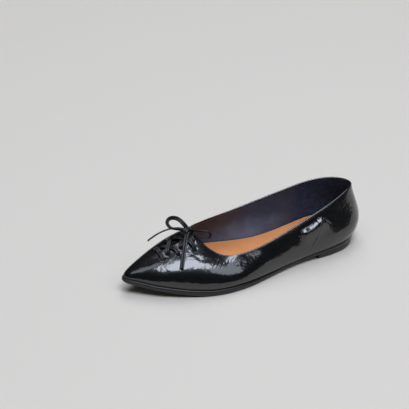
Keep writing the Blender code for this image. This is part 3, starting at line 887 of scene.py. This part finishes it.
@dataclass
class Relief:
    """Troughs, folds, dimples and steps of the upper's leather, in the shoe's own sizes."""

    last: Last
    path_step: float = 1.5 * MM
    ridge_share: float = 0.4        # a trough's ridges, as a share of its depth
    ridge_place: float = 2.0        # how many widths they lie from its middle
    end_fade: float = 3.5
    outer_blend: float = 12 * MM    # how softly the outer quarter's forms begin beside the middle
    fullness: float = 2.6 * MM
    full_lean: float = 0.45         # below 1 it swells nearer the feather line
    full_station: float = 100 * MM
    full_ahead: float = 34 * MM
    full_behind: float = 66 * MM
    fold_rise: float = 3.1 * MM
    fold_above: float = 3.6 * MM
    fold_below: float = 9.0 * MM
    fold_clear: float = 2.0 * MM
    tuck: float = 1.3 * MM
    tuck_station: float = 75 * MM
    tuck_reach: float = 35 * MM
    tuck_depth: float = 5.2 * MM
    tuck_foot: float = 0.35
    hollow: float = 1.9 * MM
    hollow_lean: float = 1.3
    hollow_station: float = 161 * MM
    hollow_reach: float = 16 * MM
    feather_turn: float = 0.8 * MM
    feather_reach: float = 1.1 * MM
    dimple: float = 0.4 * MM
    dimple_reach: float = 2.4 * MM

    def depth_of(self, points: Array) -> Array:
        """Gives how far the leather is raised at points of its surface, in metres.

        Args:
            points: the surface's points, as (meridian, row, axis).

        Returns:
            The raise of each, negative in a trough.
        """
        flat = points.reshape(-1, 3)
        raised = np.zeros(len(flat))
        for crease in CREASES:
            path = self.last.onto(smooth_route(self.last.route(crease.points), self.path_step))
            raised += self.trough(flat, path, crease.width * MM, crease.depth * MM)
        raised += self.hole_dimples(flat)
        height = np.linalg.norm(points - points[:, -1:], axis=2)
        turned = -self.feather_turn * np.exp(-(height / self.feather_reach)**2)
        return raised.reshape(points.shape[:2]) + self.quarter_form(points) + self.collar_fold(points) + turned

    def quarter_form(self, points: Array) -> Array:
        """Gives the fullness of the outer quarter, the tuck under its collar and the hollow by the throat.

        Args:
            points: the surface's points, the collar's row first.

        Returns:
            The raise of each.
        """
        steps = np.linalg.norm(np.diff(points, axis=1), axis=2)
        depth = np.concatenate([np.zeros((len(points), 1)), np.cumsum(steps, axis=1)], axis=1)
        share = 1 - depth / depth[:, -1:]
        station = self.last.station_of(points)
        outer = smoothstep((points[..., 0] + self.last.origin_side) / self.outer_blend)
        reach = np.where(station > self.full_station, self.full_ahead, self.full_behind)
        around = np.exp(-((station - self.full_station) / reach)**2)
        full = self.fullness * around * np.sin(np.pi * share**self.full_lean)
        rear = smoothstep((self.tuck_station - station) / self.tuck_reach)
        tuck = self.tuck * rear * (1 - np.exp(-depth / self.tuck_depth)) * smoothstep(share / self.tuck_foot)
        around = np.exp(-((station - self.hollow_station) / self.hollow_reach)**2)
        hollow = self.hollow * around * np.sin(np.pi * share**self.hollow_lean)
        return outer * (full + tuck - hollow)

    def collar_fold(self, points: Array) -> Array:
        """Gives the soft fold of the quarter under the collar, steep above its crest and gentle below.

        Args:
            points: the surface's points, the collar's row first.

        Returns:
            The raise of each.
        """
        crest = self.last.onto(smooth_route(self.last.route(FOLD_CREST), 1.0 * MM))
        gaps = np.linalg.norm(points[:, :, None] - crest[None, None], axis=3)
        nearest = gaps.argmin(axis=2)
        along = nearest / (len(crest) - 1)
        above = points[..., 2] > crest[nearest][..., 2]
        reach = np.where(above, self.fold_above, self.fold_below)
        raised = self.fold_rise * np.exp(-(gaps.min(axis=2) / reach)**2)
        outer = points[..., 0] > 0
        clear = smoothstep(np.linalg.norm(points - points[:, :1], axis=2) / self.fold_clear)
        return raised * outer * clear * smoothstep(4 * np.minimum(along, 1 - along))

    def trough(self, flat: Array, path: Array, width: float, depth: float) -> Array:
        """Gives the raise of one trough, which fades out towards its two ends.

        Args:
            flat: the surface's points, one row each.
            path: the trough's middle line.
            width: how far from it the depth has fallen to about a third.
            depth: the depth at its middle, negative for a raised fold.

        Returns:
            The raise of each point.
        """
        raised = np.zeros(len(flat))
        middle, reach = path.mean(0), np.linalg.norm(path - path.mean(0), axis=1).max() + 4 * width
        near = np.where(np.linalg.norm(flat - middle, axis=1) < reach)[0]
        if not len(near):
            return raised
        gaps = np.linalg.norm(flat[near, None] - path[None], axis=2)
        distance = gaps.min(1) / width
        along = gaps.argmin(1) / (len(path) - 1)
        fade = smoothstep(self.end_fade * np.minimum(along, 1 - along) + 0.05)
        shape = -np.exp(-distance**2) + self.ridge_share * np.exp(-(distance - self.ridge_place)**2)
        raised[near] = depth * shape * fade
        return raised

    def hole_dimples(self, flat: Array) -> Array:
        """Gives the dimples that the pulled lace leaves round its holes.

        Args:
            flat: the surface's points, one row each.

        Returns:
            The raise of each point.
        """
        raised = np.zeros(len(flat))
        for station, span in OUTER_HOLES + INNER_HOLES:
            for side in (span, -span):
                centre, _ = self.last.over(LACING_SIDE + side, station)
                distance = np.linalg.norm(flat - centre, axis=1) / self.dimple_reach
                raised -= self.dimple * np.exp(-distance**2)
        return raised


@dataclass
class Upper:
    """The leather upper with its rolled collar, laced slit and seams, and the lining inside it."""

    last: Last
    meridians: int = 760
    rows: int = 56
    leather: float = 1.0 * MM
    edge_radius: float = 0.95 * MM
    fold_depth: float = 0.5 * MM
    lining_gap: float = 0.05 * MM
    near_collar: tuple = tuple(d * MM for d in (0.0, 0.4, 0.8, 1.15, 1.5, 1.85, 2.3, 3.0, 4.0))
    roll_steps: int = 7
    lining_step: float = 0.1 * MM
    slit_start: float = 186.0       # stations in millimetres; the cut starts in the open throat
    slit_throat: float = 192.0
    slit_end: float = 221.0
    slit_widths: tuple = (4.6, 1.6)
    slit_height: float = 40.0
    slit_clear: float = 3.5 * MM    # no stitch nearer than this to the slit's middle, past slit_front
    slit_front: float = 180 * MM
    hole_radius: float = 1.45 * MM
    hole_depth: float = 9 * MM
    hole_sides: int = 20
    stitch_pitch: float = 2.2 * MM
    stitch_line: float = 1.0 * MM   # its distance under the collar's edge
    stitch_length: float = 1.35 * MM
    stitch_radius: float = 0.27 * MM
    stitch_flat: float = 0.8
    stitch_lift: float = 0.06 * MM

    def build(self) -> None:
        """Builds and dresses the leather, the lining and the collar's stitches."""
        cutters = self.cutters()
        leather = lay_grid("glossy_upper", self.leather_section())
        self.cut(leather, cutters)
        finish_piece(leather, Finish.LEATHER, ("upper",), 60.0)
        lining = lay_grid("lining", self.lining_section())
        self.cut(lining, cutters)
        finish_piece(lining, Finish.LINING, (), 60.0)
        for cutter in cutters:
            bpy.data.objects.remove(cutter)
        self.stitches()

    def leather_section(self) -> Array:
        """Lays out the leather's wall: outside, rolled edge, fold and inside.

        Returns:
            The wall as a net that is closed both ways.
        """
        net = self.last.net(self.meridians, self.near_collar, self.rows)
        relief = Relief(self.last).depth_of(net.points)
        points = net.points + net.normals * relief[..., None]
        up = unit(points[:, 0] - points[:, 1])
        centre = points[:, 0] - net.normals[:, 0] * self.edge_radius
        roll = [centre + self.edge_radius * (math.cos(a) * net.normals[:, 0] + math.sin(a) * up)
                for a in np.linspace(0.0, math.pi, self.roll_steps + 1)[1:]]
        folded = [row for row, depth in enumerate(self.near_collar) if 0 < depth <= self.fold_depth]
        leg = [points[:, row] - net.normals[:, row] * 2 * self.edge_radius for row in folded]
        inner_rows = list(range(folded[-1], points.shape[1] - 1, 3)) + [points.shape[1] - 1]
        inside = [points[:, row] - net.normals[:, row] * self.leather for row in inner_rows]
        inside[-1][:, 2] = points[:, -1, 2]
        outside = [points[:, row] for row in range(points.shape[1] - 1, -1, -1)]
        section = np.array(outside + roll + leg + inside + outside[:1]).transpose(1, 0, 2)
        return np.concatenate([section, section[:1]])

    def lining_section(self) -> Array:
        """Lays out the lining's wall, its seen face first.

        Returns:
            The wall as a net that is closed both ways.
        """
        depths = (self.fold_depth + self.lining_step, self.fold_depth + self.leather)
        net = self.last.net(self.meridians // 2, depths, self.rows // 2)
        front = net.points - net.normals * self.last.wall
        sunk = np.minimum(Relief(self.last).quarter_form(net.points), 0.0)[..., None] * net.normals
        front += sunk
        back = net.points - net.normals * (self.leather + self.lining_gap) + sunk
        front[:, -1, 2] = back[:, -1, 2] = net.points[:, -1, 2]
        section = np.concatenate([front, back[:, ::-1], front[:, :1]], axis=1)
        return np.concatenate([section, section[:1]])

    def cutters(self) -> list[bpy.types.Object]:
        """Adds the slit's and the holes' cutters.

        Returns:
            The cutters: a wedge for the slit and a cylinder for each hole.
        """
        found = []
        length = (self.slit_end - self.slit_start) * MM
        middle, _ = self.last.over(LACING_SIDE, (self.slit_end + self.slit_throat) / 2)
        centre = self.last.place(LACING_SIDE * MM, (self.slit_start + self.slit_end) / 2 * MM, middle[2])
        deselect_all()
        bpy.ops.mesh.primitive_cube_add(size=1.0, location=centre)
        slit = bpy.context.object
        for vertex in slit.data.vertices:
            width = self.slit_widths[0] if vertex.co.y > 0 else self.slit_widths[1]
            vertex.co = Vector((vertex.co.x * width * MM, vertex.co.y * length,
                                vertex.co.z * self.slit_height * MM))
        found.append(slit)
        for station, span in OUTER_HOLES + INNER_HOLES:
            for side in (span, -span):
                spot, normal = self.last.over(LACING_SIDE + side, station)
                turn = Vector(normal).to_track_quat("Z", "Y").to_euler()
                bpy.ops.mesh.primitive_cylinder_add(vertices=self.hole_sides, radius=self.hole_radius,
                                                    depth=self.hole_depth, location=spot, rotation=turn)
                found.append(bpy.context.object)
        return found

    @staticmethod
    def cut(piece: bpy.types.Object, cutters: list[bpy.types.Object]) -> None:
        """Cuts the slit and the holes out of a wall.

        Args:
            piece: the wall.
            cutters: the cutters, which stay.
        """
        group = bpy.data.collections.new("cutters")
        bpy.context.scene.collection.children.link(group)
        for cutter in cutters:
            group.objects.link(cutter)
        apply_modifier(piece, "BOOLEAN", operation="DIFFERENCE", operand_type="COLLECTION", collection=group,
                       solver="EXACT")
        bpy.data.collections.remove(group)

    def stitches(self) -> None:
        """Adds the row of stitches under the collar's rolled edge, broken at the slit."""
        net = self.last.net(self.meridians * 2, (0.0, self.stitch_line / 2, self.stitch_line), 2)
        line, normals = net.points[:, 2], net.normals[:, 2]
        closed = np.concatenate([line, line[:1]])
        travelled = np.concatenate([[0.0], np.cumsum(np.linalg.norm(np.diff(closed, axis=0), axis=1))])
        deselect_all()
        bpy.ops.mesh.primitive_uv_sphere_add(segments=8, ring_count=5, radius=1.0)
        first = bpy.context.object
        bpy.ops.object.mode_set(mode="EDIT")
        bpy.ops.mesh.select_all(action="SELECT")
        bpy.ops.transform.resize(value=(self.stitch_length / 2, self.stitch_radius,
                                        self.stitch_radius * self.stitch_flat),
                                 center_override=(0.0, 0.0, 0.0))
        bpy.ops.object.mode_set(mode="OBJECT")
        copies = []
        for i in range(int(travelled[-1] / self.stitch_pitch)):
            at = np.searchsorted(travelled, i * self.stitch_pitch) % len(line)
            beside = abs(line[at][0] + self.last.origin_side - LACING_SIDE * MM)
            if beside < self.slit_clear and self.last.station_of(line[at]) > self.slit_front:
                continue
            along = unit(line[(at + 1) % len(line)] - line[at - 1])
            across = unit(np.cross(normals[at], along))
            seat = Matrix(np.stack([along, across, normals[at]], axis=1).tolist()).to_4x4()
            seat.translation = Vector(line[at] + normals[at] * self.stitch_lift)
            stitch = bpy.data.objects.new("stitch", first.data.copy())
            stitch.data.transform(seat)
            bpy.context.scene.collection.objects.link(stitch)
            copies.append(stitch)
        bpy.data.objects.remove(first)
        finish_piece(join_pieces("collar_stitches", copies), Finish.THREAD)


@dataclass
class Bottom:
    """The outsole, the heel and the insole."""

    last: Last
    forefoot_lip: float = 1.1 * MM
    heel_lip: float = 0.2 * MM
    lip_stations: tuple = (70.0 * MM, 120.0 * MM)
    sole_edge: tuple = ((0.0, 1.0), (0.06, 0.5), (0.16, 0.15), (0.3, 0.0), (0.5, -0.05), (0.68, 0.0),
                        (0.8, 0.12), (0.9, 0.4), (0.97, 0.8), (1.0, 1.3))
    heel_edge: tuple = ((0.0, 1.9), (0.03, 1.5), (0.08, 1.25), (0.5, 1.0), (0.97, 0.8), (1.0, 0.9))
    heel_breast: float = 63.0 * MM
    insole_stations: tuple = (6.5 * MM, 261.0 * MM)
    insole_steps: tuple = (200, 49)
    insole_thickness: float = 1.3 * MM
    insole_inset: float = 0.75 * MM

    def build(self) -> None:
        """Builds and dresses the three pieces."""
        finish_piece(self.slab("thin_sole", 0.0, 1.0, 170, self.sole_edge, self.sole_ring), Finish.SOLE_EDGE,
                     ("outsole",), 50.0)
        finish_piece(self.slab("heel_block", 0.0, self.heel_breast, 60, self.heel_edge, self.heel_ring),
                     Finish.HEEL_RUBBER, ("heel",), 50.0)
        self.insole()

    def sole_ring(self, points: Array, outward: Array, height: float, inset: float) -> Array:
        """Gives one ring of the sole's edge.

        Args:
            points: the outline's points, as (side, station, axis).
            outward: the outline's plan normals.
            height: the ring's height as a share of the sole's thickness.
            inset: how far it lies inside the lip, in millimetres.

        Returns:
            The ring, as (side, station, axis).
        """
        stations = self.last.station_of(points)
        blend = smoothstep((stations - self.lip_stations[0]) / (self.lip_stations[1] - self.lip_stations[0]))
        lip = self.heel_lip + (self.forefoot_lip - self.heel_lip) * blend
        ring = points + outward * (lip - inset * MM)[..., None]
        low, high = self.last.sole_underside(stations), self.last.sole_top(stations)
        ring[..., 2] = low + (high - low) * height
        return ring

    def heel_ring(self, points: Array, outward: Array, height: float, inset: float) -> Array:
        """Gives one ring of the heel's side.

        Args:
            points: the outline's points, as (side, station, axis).
            outward: the outline's plan normals.
            height: the ring's height as a share of the heel's.
            inset: how far it lies inside the outline, in millimetres.

        Returns:
            The ring, as (side, station, axis).
        """
        ring = points - outward * inset * MM
        ring[..., 2] = (self.last.sole_underside(self.last.station_of(points)) - self.last.gap) * height
        return ring

    def slab(self, name: str, first: float, last: float, count: int, edge: tuple,
             ring_of: Callable[[Array, Array, float, float], Array]) -> bpy.types.Object:
        """Lofts a slab: its two faces run across between the outline's sides, its edge follows the table.

        Args:
            name: the piece's name.
            first: the lowest station.
            last: the highest station.
            count: how many stations.
            edge: height and inset of each ring, from below.
            ring_of: gives a ring from the outline's points, normals, height and inset.

        Returns:
            The piece.
        """
        points, outward = self.last.outline(count, first, last)
        rings = [ring_of(points, outward, height, inset) for height, inset in edge]
        across = np.linspace(0.0, 1.0, 7)[1:-1]
        bottom = [rings[0][0] * (1 - t) + rings[0][1] * t for t in across]
        top = [rings[-1][1] * (1 - t) + rings[-1][0] * t for t in across]
        section = [ring[1] for ring in rings] + top + [ring[0] for ring in rings[::-1]] + bottom + [rings[0][1]]
        net = np.array(section).transpose(1, 0, 2)
        piece = lay_grid(name, net)
        close_rims(piece)
        return piece

    def insole(self) -> None:
        """Builds and dresses the insole: a sheet laid on the sole, 1.3 mm thick."""
        points, outward = self.last.outline(self.insole_steps[0], *self.insole_stations)
        sides = points - outward * (self.last.wall + self.insole_inset)
        share = np.linspace(0.0, 1.0, self.insole_steps[1])
        net = sides[0][:, None] * (1 - share)[None, :, None] + sides[1][:, None] * share[None, :, None]
        stations = self.last.station_of(net)
        net[..., 2] = self.last.sole_top(stations) + self.last.gap + self.insole_thickness
        piece = lay_grid("tan_insole", net)
        apply_modifier(piece, "SOLIDIFY", thickness=self.insole_thickness, offset=-1.0)
        finish_piece(piece, Finish.INSOLE, ("insole",), 50.0)


@dataclass
class Strip:
    """A lace: a leather strip folded to the middle, so that each face has a fine line along it."""

    width: float = 4.3 * MM
    thickness: float = 1.45 * MM
    notch: float = 0.42 * MM
    notch_width: float = 0.42 * MM
    sides: int = 32

    def profile(self) -> Array:
        """Lays out the strip's section, with a notch along the middle of both faces.

        Returns:
            Distance across and height of each point.
        """
        angle = np.linspace(0.0, 2 * np.pi, self.sides, endpoint=False)
        across = self.width / 2 * np.sign(np.cos(angle)) * np.abs(np.cos(angle))**0.8
        height = self.thickness / 2 * np.sign(np.sin(angle)) * np.abs(np.sin(angle))**0.55
        groove = 1 - self.notch / (self.thickness / 2) * np.exp(-(across / self.notch_width)**2)
        return np.stack([across, height * groove], axis=1)

    def sweep(self, name: str, path: Array, across: Array, scale: Array | None = None,
              closed: bool = False) -> bpy.types.Object:
        """Sweeps the strip along a path.

        Args:
            name: the piece's name.
            path: the centre line's points.
            across: the direction of the strip's width at each point.
            scale: the width's share at each point, 1 where it isn't given.
            closed: whether the path comes back to its start.

        Returns:
            The piece.
        """
        along = unit(np.roll(path, -1, 0) - np.roll(path, 1, 0)) if closed else unit(np.gradient(path, axis=0))
        across = unit(across - (across * along).sum(1)[:, None] * along)
        facing = np.cross(along, across)
        scale = np.ones(len(path)) if scale is None else scale
        section = self.profile()
        rings = (path[:, None] + across[:, None] * (section[None, :, :1] * scale[:, None, None])
                 + facing[:, None] * section[None, :, 1:])
        rings = np.concatenate([rings, rings[:1]]) if closed else rings
        piece = lay_grid(name, np.concatenate([rings, rings[:, :1]], axis=1))
        if not closed:
            close_rims(piece)
        return piece


class Run(NamedTuple):
    """A free run of the bow: its piece, centre line, width's direction and far end."""

    piece: bpy.types.Object
    path: Array
    across: Array
    far_end: str


@dataclass
class Lacing:
    """The lace through its holes, and the bow at the throat."""

    last: Last
    view: Array
    strip: Strip = field(default_factory=Strip)
    spacing: float = 0.6 * MM
    over_lift: float = 0.75
    hole_lift: float = -1.0
    under_lift: float = -2.9
    crossing_lift: float = 2.2
    approach: float = 1.6
    hole_shift: float = 0.5
    back_step: float = 0.6         # how far behind an inner hole the lace comes up
    root: tuple = (2.0, 1.0)       # side and extra lift of a strand's end under the knot
    narrowing: float = 0.26        # how much narrower the lace is where a hole squeezes it
    knot_axis: tuple = (0.81, 0.42, -0.45)
    knot_radius: float = 4.3 * MM
    knot_shift: tuple = (1.0 * MM, -4.9 * MM, -0.3 * MM)
    core_axis: tuple = (-0.3, 0.9, 0.3)
    core_radius: float = 2.0 * MM
    turn_steps: int = 40
    stub: tuple = (0.4 * MM, 0.8 * MM)     # how far a stub overlaps its run, and goes straight on
    stub_bend: float = 0.55

    def build(self) -> None:
        """Builds and dresses the strands, the knot, the loops and the ends."""
        strands = [self.strand(f"lace_strand_{number}", sign) for number, sign in enumerate((1, -1))]
        for number, piece in enumerate(strands):
            finish_piece(piece, Finish.LACE, ("lace_bars",) if number == 0 else (), 60.0)
        runs = {
            "lace_loop_inner": self.free_run("inner_loop_strip", LOOP_INNER, (0, 15, 35, 60, 80), "object"),
            "lace_loop_outer": self.free_run("outer_loop_strip", LOOP_OUTER, (75, 85, 70, 80, 90), "object"),
            "lace_end_outer": self.free_run("outer_end_strip", END_OUTER, (10, 0, 0, 5), "bare"),
            "lace_end_inner": self.free_run("inner_end_strip", END_INNER, (70, 85, 85, 80), "bare"),
        }
        knot = self.knot(runs.values())
        for node, run in runs.items():
            finish_piece(run.piece, Finish.LACE, (node,), 60.0)

    def strand(self, name: str, sign: int) -> bpy.types.Object:
        """Builds one half of the lace, from the front bar to the knot, over and under the leather.

        Args:
            name: the piece's name.
            sign: the side that it starts on, 1 outer or -1 inner.

        Returns:
            The piece.
        """
        stops = [(0.0, OUTER_HOLES[0][0], self.over_lift)]
        side = sign
        for row in range(3):
            (outer_s, outer_h), (inner_s, inner_h) = OUTER_HOLES[row], INNER_HOLES[row]
            stops.append((side * (outer_h - self.approach), outer_s, self.over_lift))
            stops.append((side * (outer_h + self.hole_shift), outer_s, self.hole_lift))
            stops.append((side * (outer_h + inner_h) / 2, (outer_s + inner_s) / 2, self.under_lift))
            stops.append((side * inner_h, inner_s, self.hole_lift))
            stops.append((side * (inner_h - self.approach), inner_s - self.back_step, self.over_lift))
            if row < 2:
                middle = (inner_s + OUTER_HOLES[row + 1][0]) / 2
                stops.append((0.0, middle, self.crossing_lift if sign > 0 else self.over_lift))
                side = -side
        knot_span = KNOT_CENTRE[0] - LACING_SIDE
        stops.append((knot_span + side * self.root[0], KNOT_CENTRE[1], self.over_lift + self.root[1]))
        plan = smooth_route(np.array(stops), self.spacing / MM)
        found = [self.last.over(LACING_SIDE + span, station, lift) for span, station, lift in plan]
        path = np.array([point for point, _ in found])
        normals = np.array([normal for _, normal in found])
        level = np.gradient(plan[:, :2], axis=0)
        level = np.stack([level[:, 0], -level[:, 1], np.zeros(len(level))], axis=1)
        across = np.cross(normals, unit(level + 1e-9))
        narrow = 1.0 - self.narrowing * smoothstep(0.4 - plan[:, 2])
        return self.strip.sweep(name, path, across, narrow)

    def knot(self, runs: Iterable[Run]) -> bpy.types.Object:
        """Builds the knot: a turn of the lace round the bow's middle, and the stubs of the runs in it.

        Args:
            runs: the bow's free runs.

        Returns:
            The knot, as one piece.
        """
        centre = self.last.route((KNOT_CENTRE,))[0]
        parts = [self.turn("knot_turn", centre + np.array(self.knot_shift), self.knot_axis, self.knot_radius),
                 self.turn("knot_core", centre, self.core_axis, self.core_radius)]
        for number, run in enumerate(runs):
            ends = [(run.path[0], run.path[0] - run.path[3], run.across[0])]
            if run.far_end == "object":
                ends.append((run.path[-1], run.path[-1] - run.path[-4], run.across[-1]))
            for at, inward, across in ends:
                route = [at - unit(inward) * self.stub[0], at + unit(inward) * self.stub[1],
                         at * (1 - self.stub_bend) + centre * self.stub_bend, centre]
                path = smooth_route(np.array(route), self.spacing)
                parts.append(self.strip.sweep(f"knot_stub_{number}", path, np.tile(across, (len(path), 1))))
        return finish_piece(join_pieces("bow_knot", parts), Finish.LACE, ("lace_knot",), 60.0)

    def turn(self, name: str, centre: Array, axis: tuple, radius: float) -> bpy.types.Object:
        """Builds one closed turn of the lace round an axis.

        Args:
            name: the piece's name.
            centre: the turn's centre.
            axis: the direction that the lace turns round.
            radius: the turn's radius.

        Returns:
            The piece.
        """
        axis = unit(axis)
        first = unit(np.cross(axis, (0.0, 0.0, 1.0)))
        second = np.cross(axis, first)
        angle = np.linspace(0.0, 2 * np.pi, self.turn_steps, endpoint=False)[:, None]
        path = centre + radius * (np.cos(angle) * first + np.sin(angle) * second)
        return self.strip.sweep(name, path, np.tile(axis, (len(path), 1)), closed=True)

    def free_run(self, name: str, table: tuple, turns: tuple, far_end: str) -> Run:
        """Builds one free run of the bow.

        Args:
            name: the piece's name.
            table: the route's own points.
            turns: the strip's turn at even shares of the way, in degrees: 0 shows the camera its broad
                face, 90 its edge.
            far_end: what the far end is.

        Returns:
            The run.
        """
        path = smooth_route(self.last.route(table), self.spacing)
        along = unit(np.gradient(path, axis=0))
        broad = unit(np.cross(self.view, along))
        angle = np.radians(np.interp(np.linspace(0, 1, len(path)), np.linspace(0, 1, len(turns)), turns))
        across = np.cos(angle)[:, None] * broad + np.sin(angle)[:, None] * np.cross(along, broad)
        return Run(self.strip.sweep(name, path, across), path, across, far_end)


@dataclass
class Studio:
    """The camera at the photograph's angle, the pale floor and the soft light."""

    azimuth: float = math.radians(61.576)
    elevation: float = math.radians(31.563)
    roll: float = math.radians(1.36)
    distance: float = 1199.7 * MM
    image_widths: float = 2.8233      # focal length in image widths
    target: tuple = (-59.8 * MM, -15.8 * MM, 39.8 * MM)
    sensor: float = 36.0
    floor_colour: str = "#ddd6cb"
    floor_side: float = 12.0
    # name, azimuth from the toe, elevation, distance, half width and height, radiance and colour of each panel
    panels: tuple = (
        ("overhead_panel", 86.0, 70.3, 3.6, 1.26, 0.76, 8.4, (0.82, 0.88, 1.0)),
        ("overhead_rim", 75.0, 76.0, 3.6, 1.8, 1.8, 0.3, (0.66, 0.78, 1.0)),
        ("toe_side_panel", -8.0, 67.0, 3.6, 0.69, 0.69, 1.5, (0.95, 0.97, 1.0)),
        ("rear_window", 121.0, 47.0, 3.6, 0.75, 0.75, 2.6, (0.82, 0.89, 1.0)),
        ("far_side_panel", -118.0, 62.0, 3.9, 1.46, 1.46, 3.1, (0.87, 0.91, 1.0)),
    )
    room_colour: tuple = (0.9, 0.95, 1.0)
    room_light: float = 0.045

    @property
    def back(self) -> Array:
        """Gives the direction from the shoe to the camera, as a unit vector."""
        level = math.cos(self.elevation)
        return np.array([math.sin(self.azimuth) * level, -math.cos(self.azimuth) * level,
                         math.sin(self.elevation)])

    def camera(self) -> None:
        """Adds the camera and makes it the scene's."""
        back = self.back
        right = np.array([math.cos(self.azimuth), math.sin(self.azimuth), 0.0])
        up = np.cross(back, right)
        rolled_right = right * math.cos(self.roll) + up * math.sin(self.roll)
        rolled_up = np.cross(back, rolled_right)
        data = bpy.data.cameras.new("camera")
        data.sensor_width = self.sensor
        data.lens = self.image_widths * self.sensor
        camera = bpy.data.objects.new("camera", data)
        turn = Matrix(np.stack([rolled_right, rolled_up, back], axis=1).tolist()).to_4x4()
        camera.matrix_world = Matrix.Translation(Vector(self.target) + Vector(back) * self.distance) @ turn
        bpy.context.scene.collection.objects.link(camera)
        bpy.context.scene.camera = camera

    def floor(self) -> None:
        """Adds the plain pale floor."""
        deselect_all()
        bpy.ops.mesh.primitive_plane_add(size=self.floor_side, location=(0.0, 0.0, 0.0))
        floor = bpy.context.object
        floor.name = "floor"
        material, tree, shader = new_material("pale_floor")
        set_shader(tree, shader, {"Base Color": linear(self.floor_colour), "Roughness": 0.8,
                                  "Specular IOR Level": 0.2})
        floor.data.materials.append(material)

    def lights(self) -> None:
        """Adds the panels and the room's dim light."""
        for name, azimuth, elevation, distance, half_width, half_height, radiance, colour in self.panels:
            light = bpy.data.lights.new(name, "AREA")
            light.shape = "ELLIPSE"
            light.size = 2 * half_width
            light.size_y = 2 * half_height
            light.energy = radiance * math.pi * math.pi * half_width * half_height
            light.color = colour
            panel = bpy.data.objects.new(name, light)
            turn, rise = math.radians(azimuth), math.radians(elevation)
            panel.location = Vector((math.sin(turn) * math.cos(rise), -math.cos(turn) * math.cos(rise),
                                     math.sin(rise))) * distance
            panel.rotation_euler = panel.location.to_track_quat("Z", "Y").to_euler()
            bpy.context.scene.collection.objects.link(panel)
        world = bpy.data.worlds.new("dim_room")
        world.use_nodes = True
        background = world.node_tree.nodes["Background"]
        background.inputs["Color"].default_value = (*self.room_colour, 1.0)
        background.inputs["Strength"].default_value = self.room_light
        bpy.context.scene.world = world
        bpy.context.scene.view_settings.view_transform = "Standard"


def main() -> None:
    """Builds the shoe's looks, piece by piece, and the studio round it."""
    logging.basicConfig(level=logging.INFO, format="%(asctime)s %(name)s: %(message)s", stream=sys.stdout)
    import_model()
    studio = Studio()
    studio.camera()
    for finish in Finish:
        MATERIALS[finish] = finish.value.build()
    last = Last()
    Lacing(last, studio.back).build()
    Upper(last).build()
    Bottom(last).build()
    studio.floor()
    studio.lights()
    LOG.info("studio: floor, camera and %d panels", len(studio.panels))


if __name__ == "__main__":
    main()
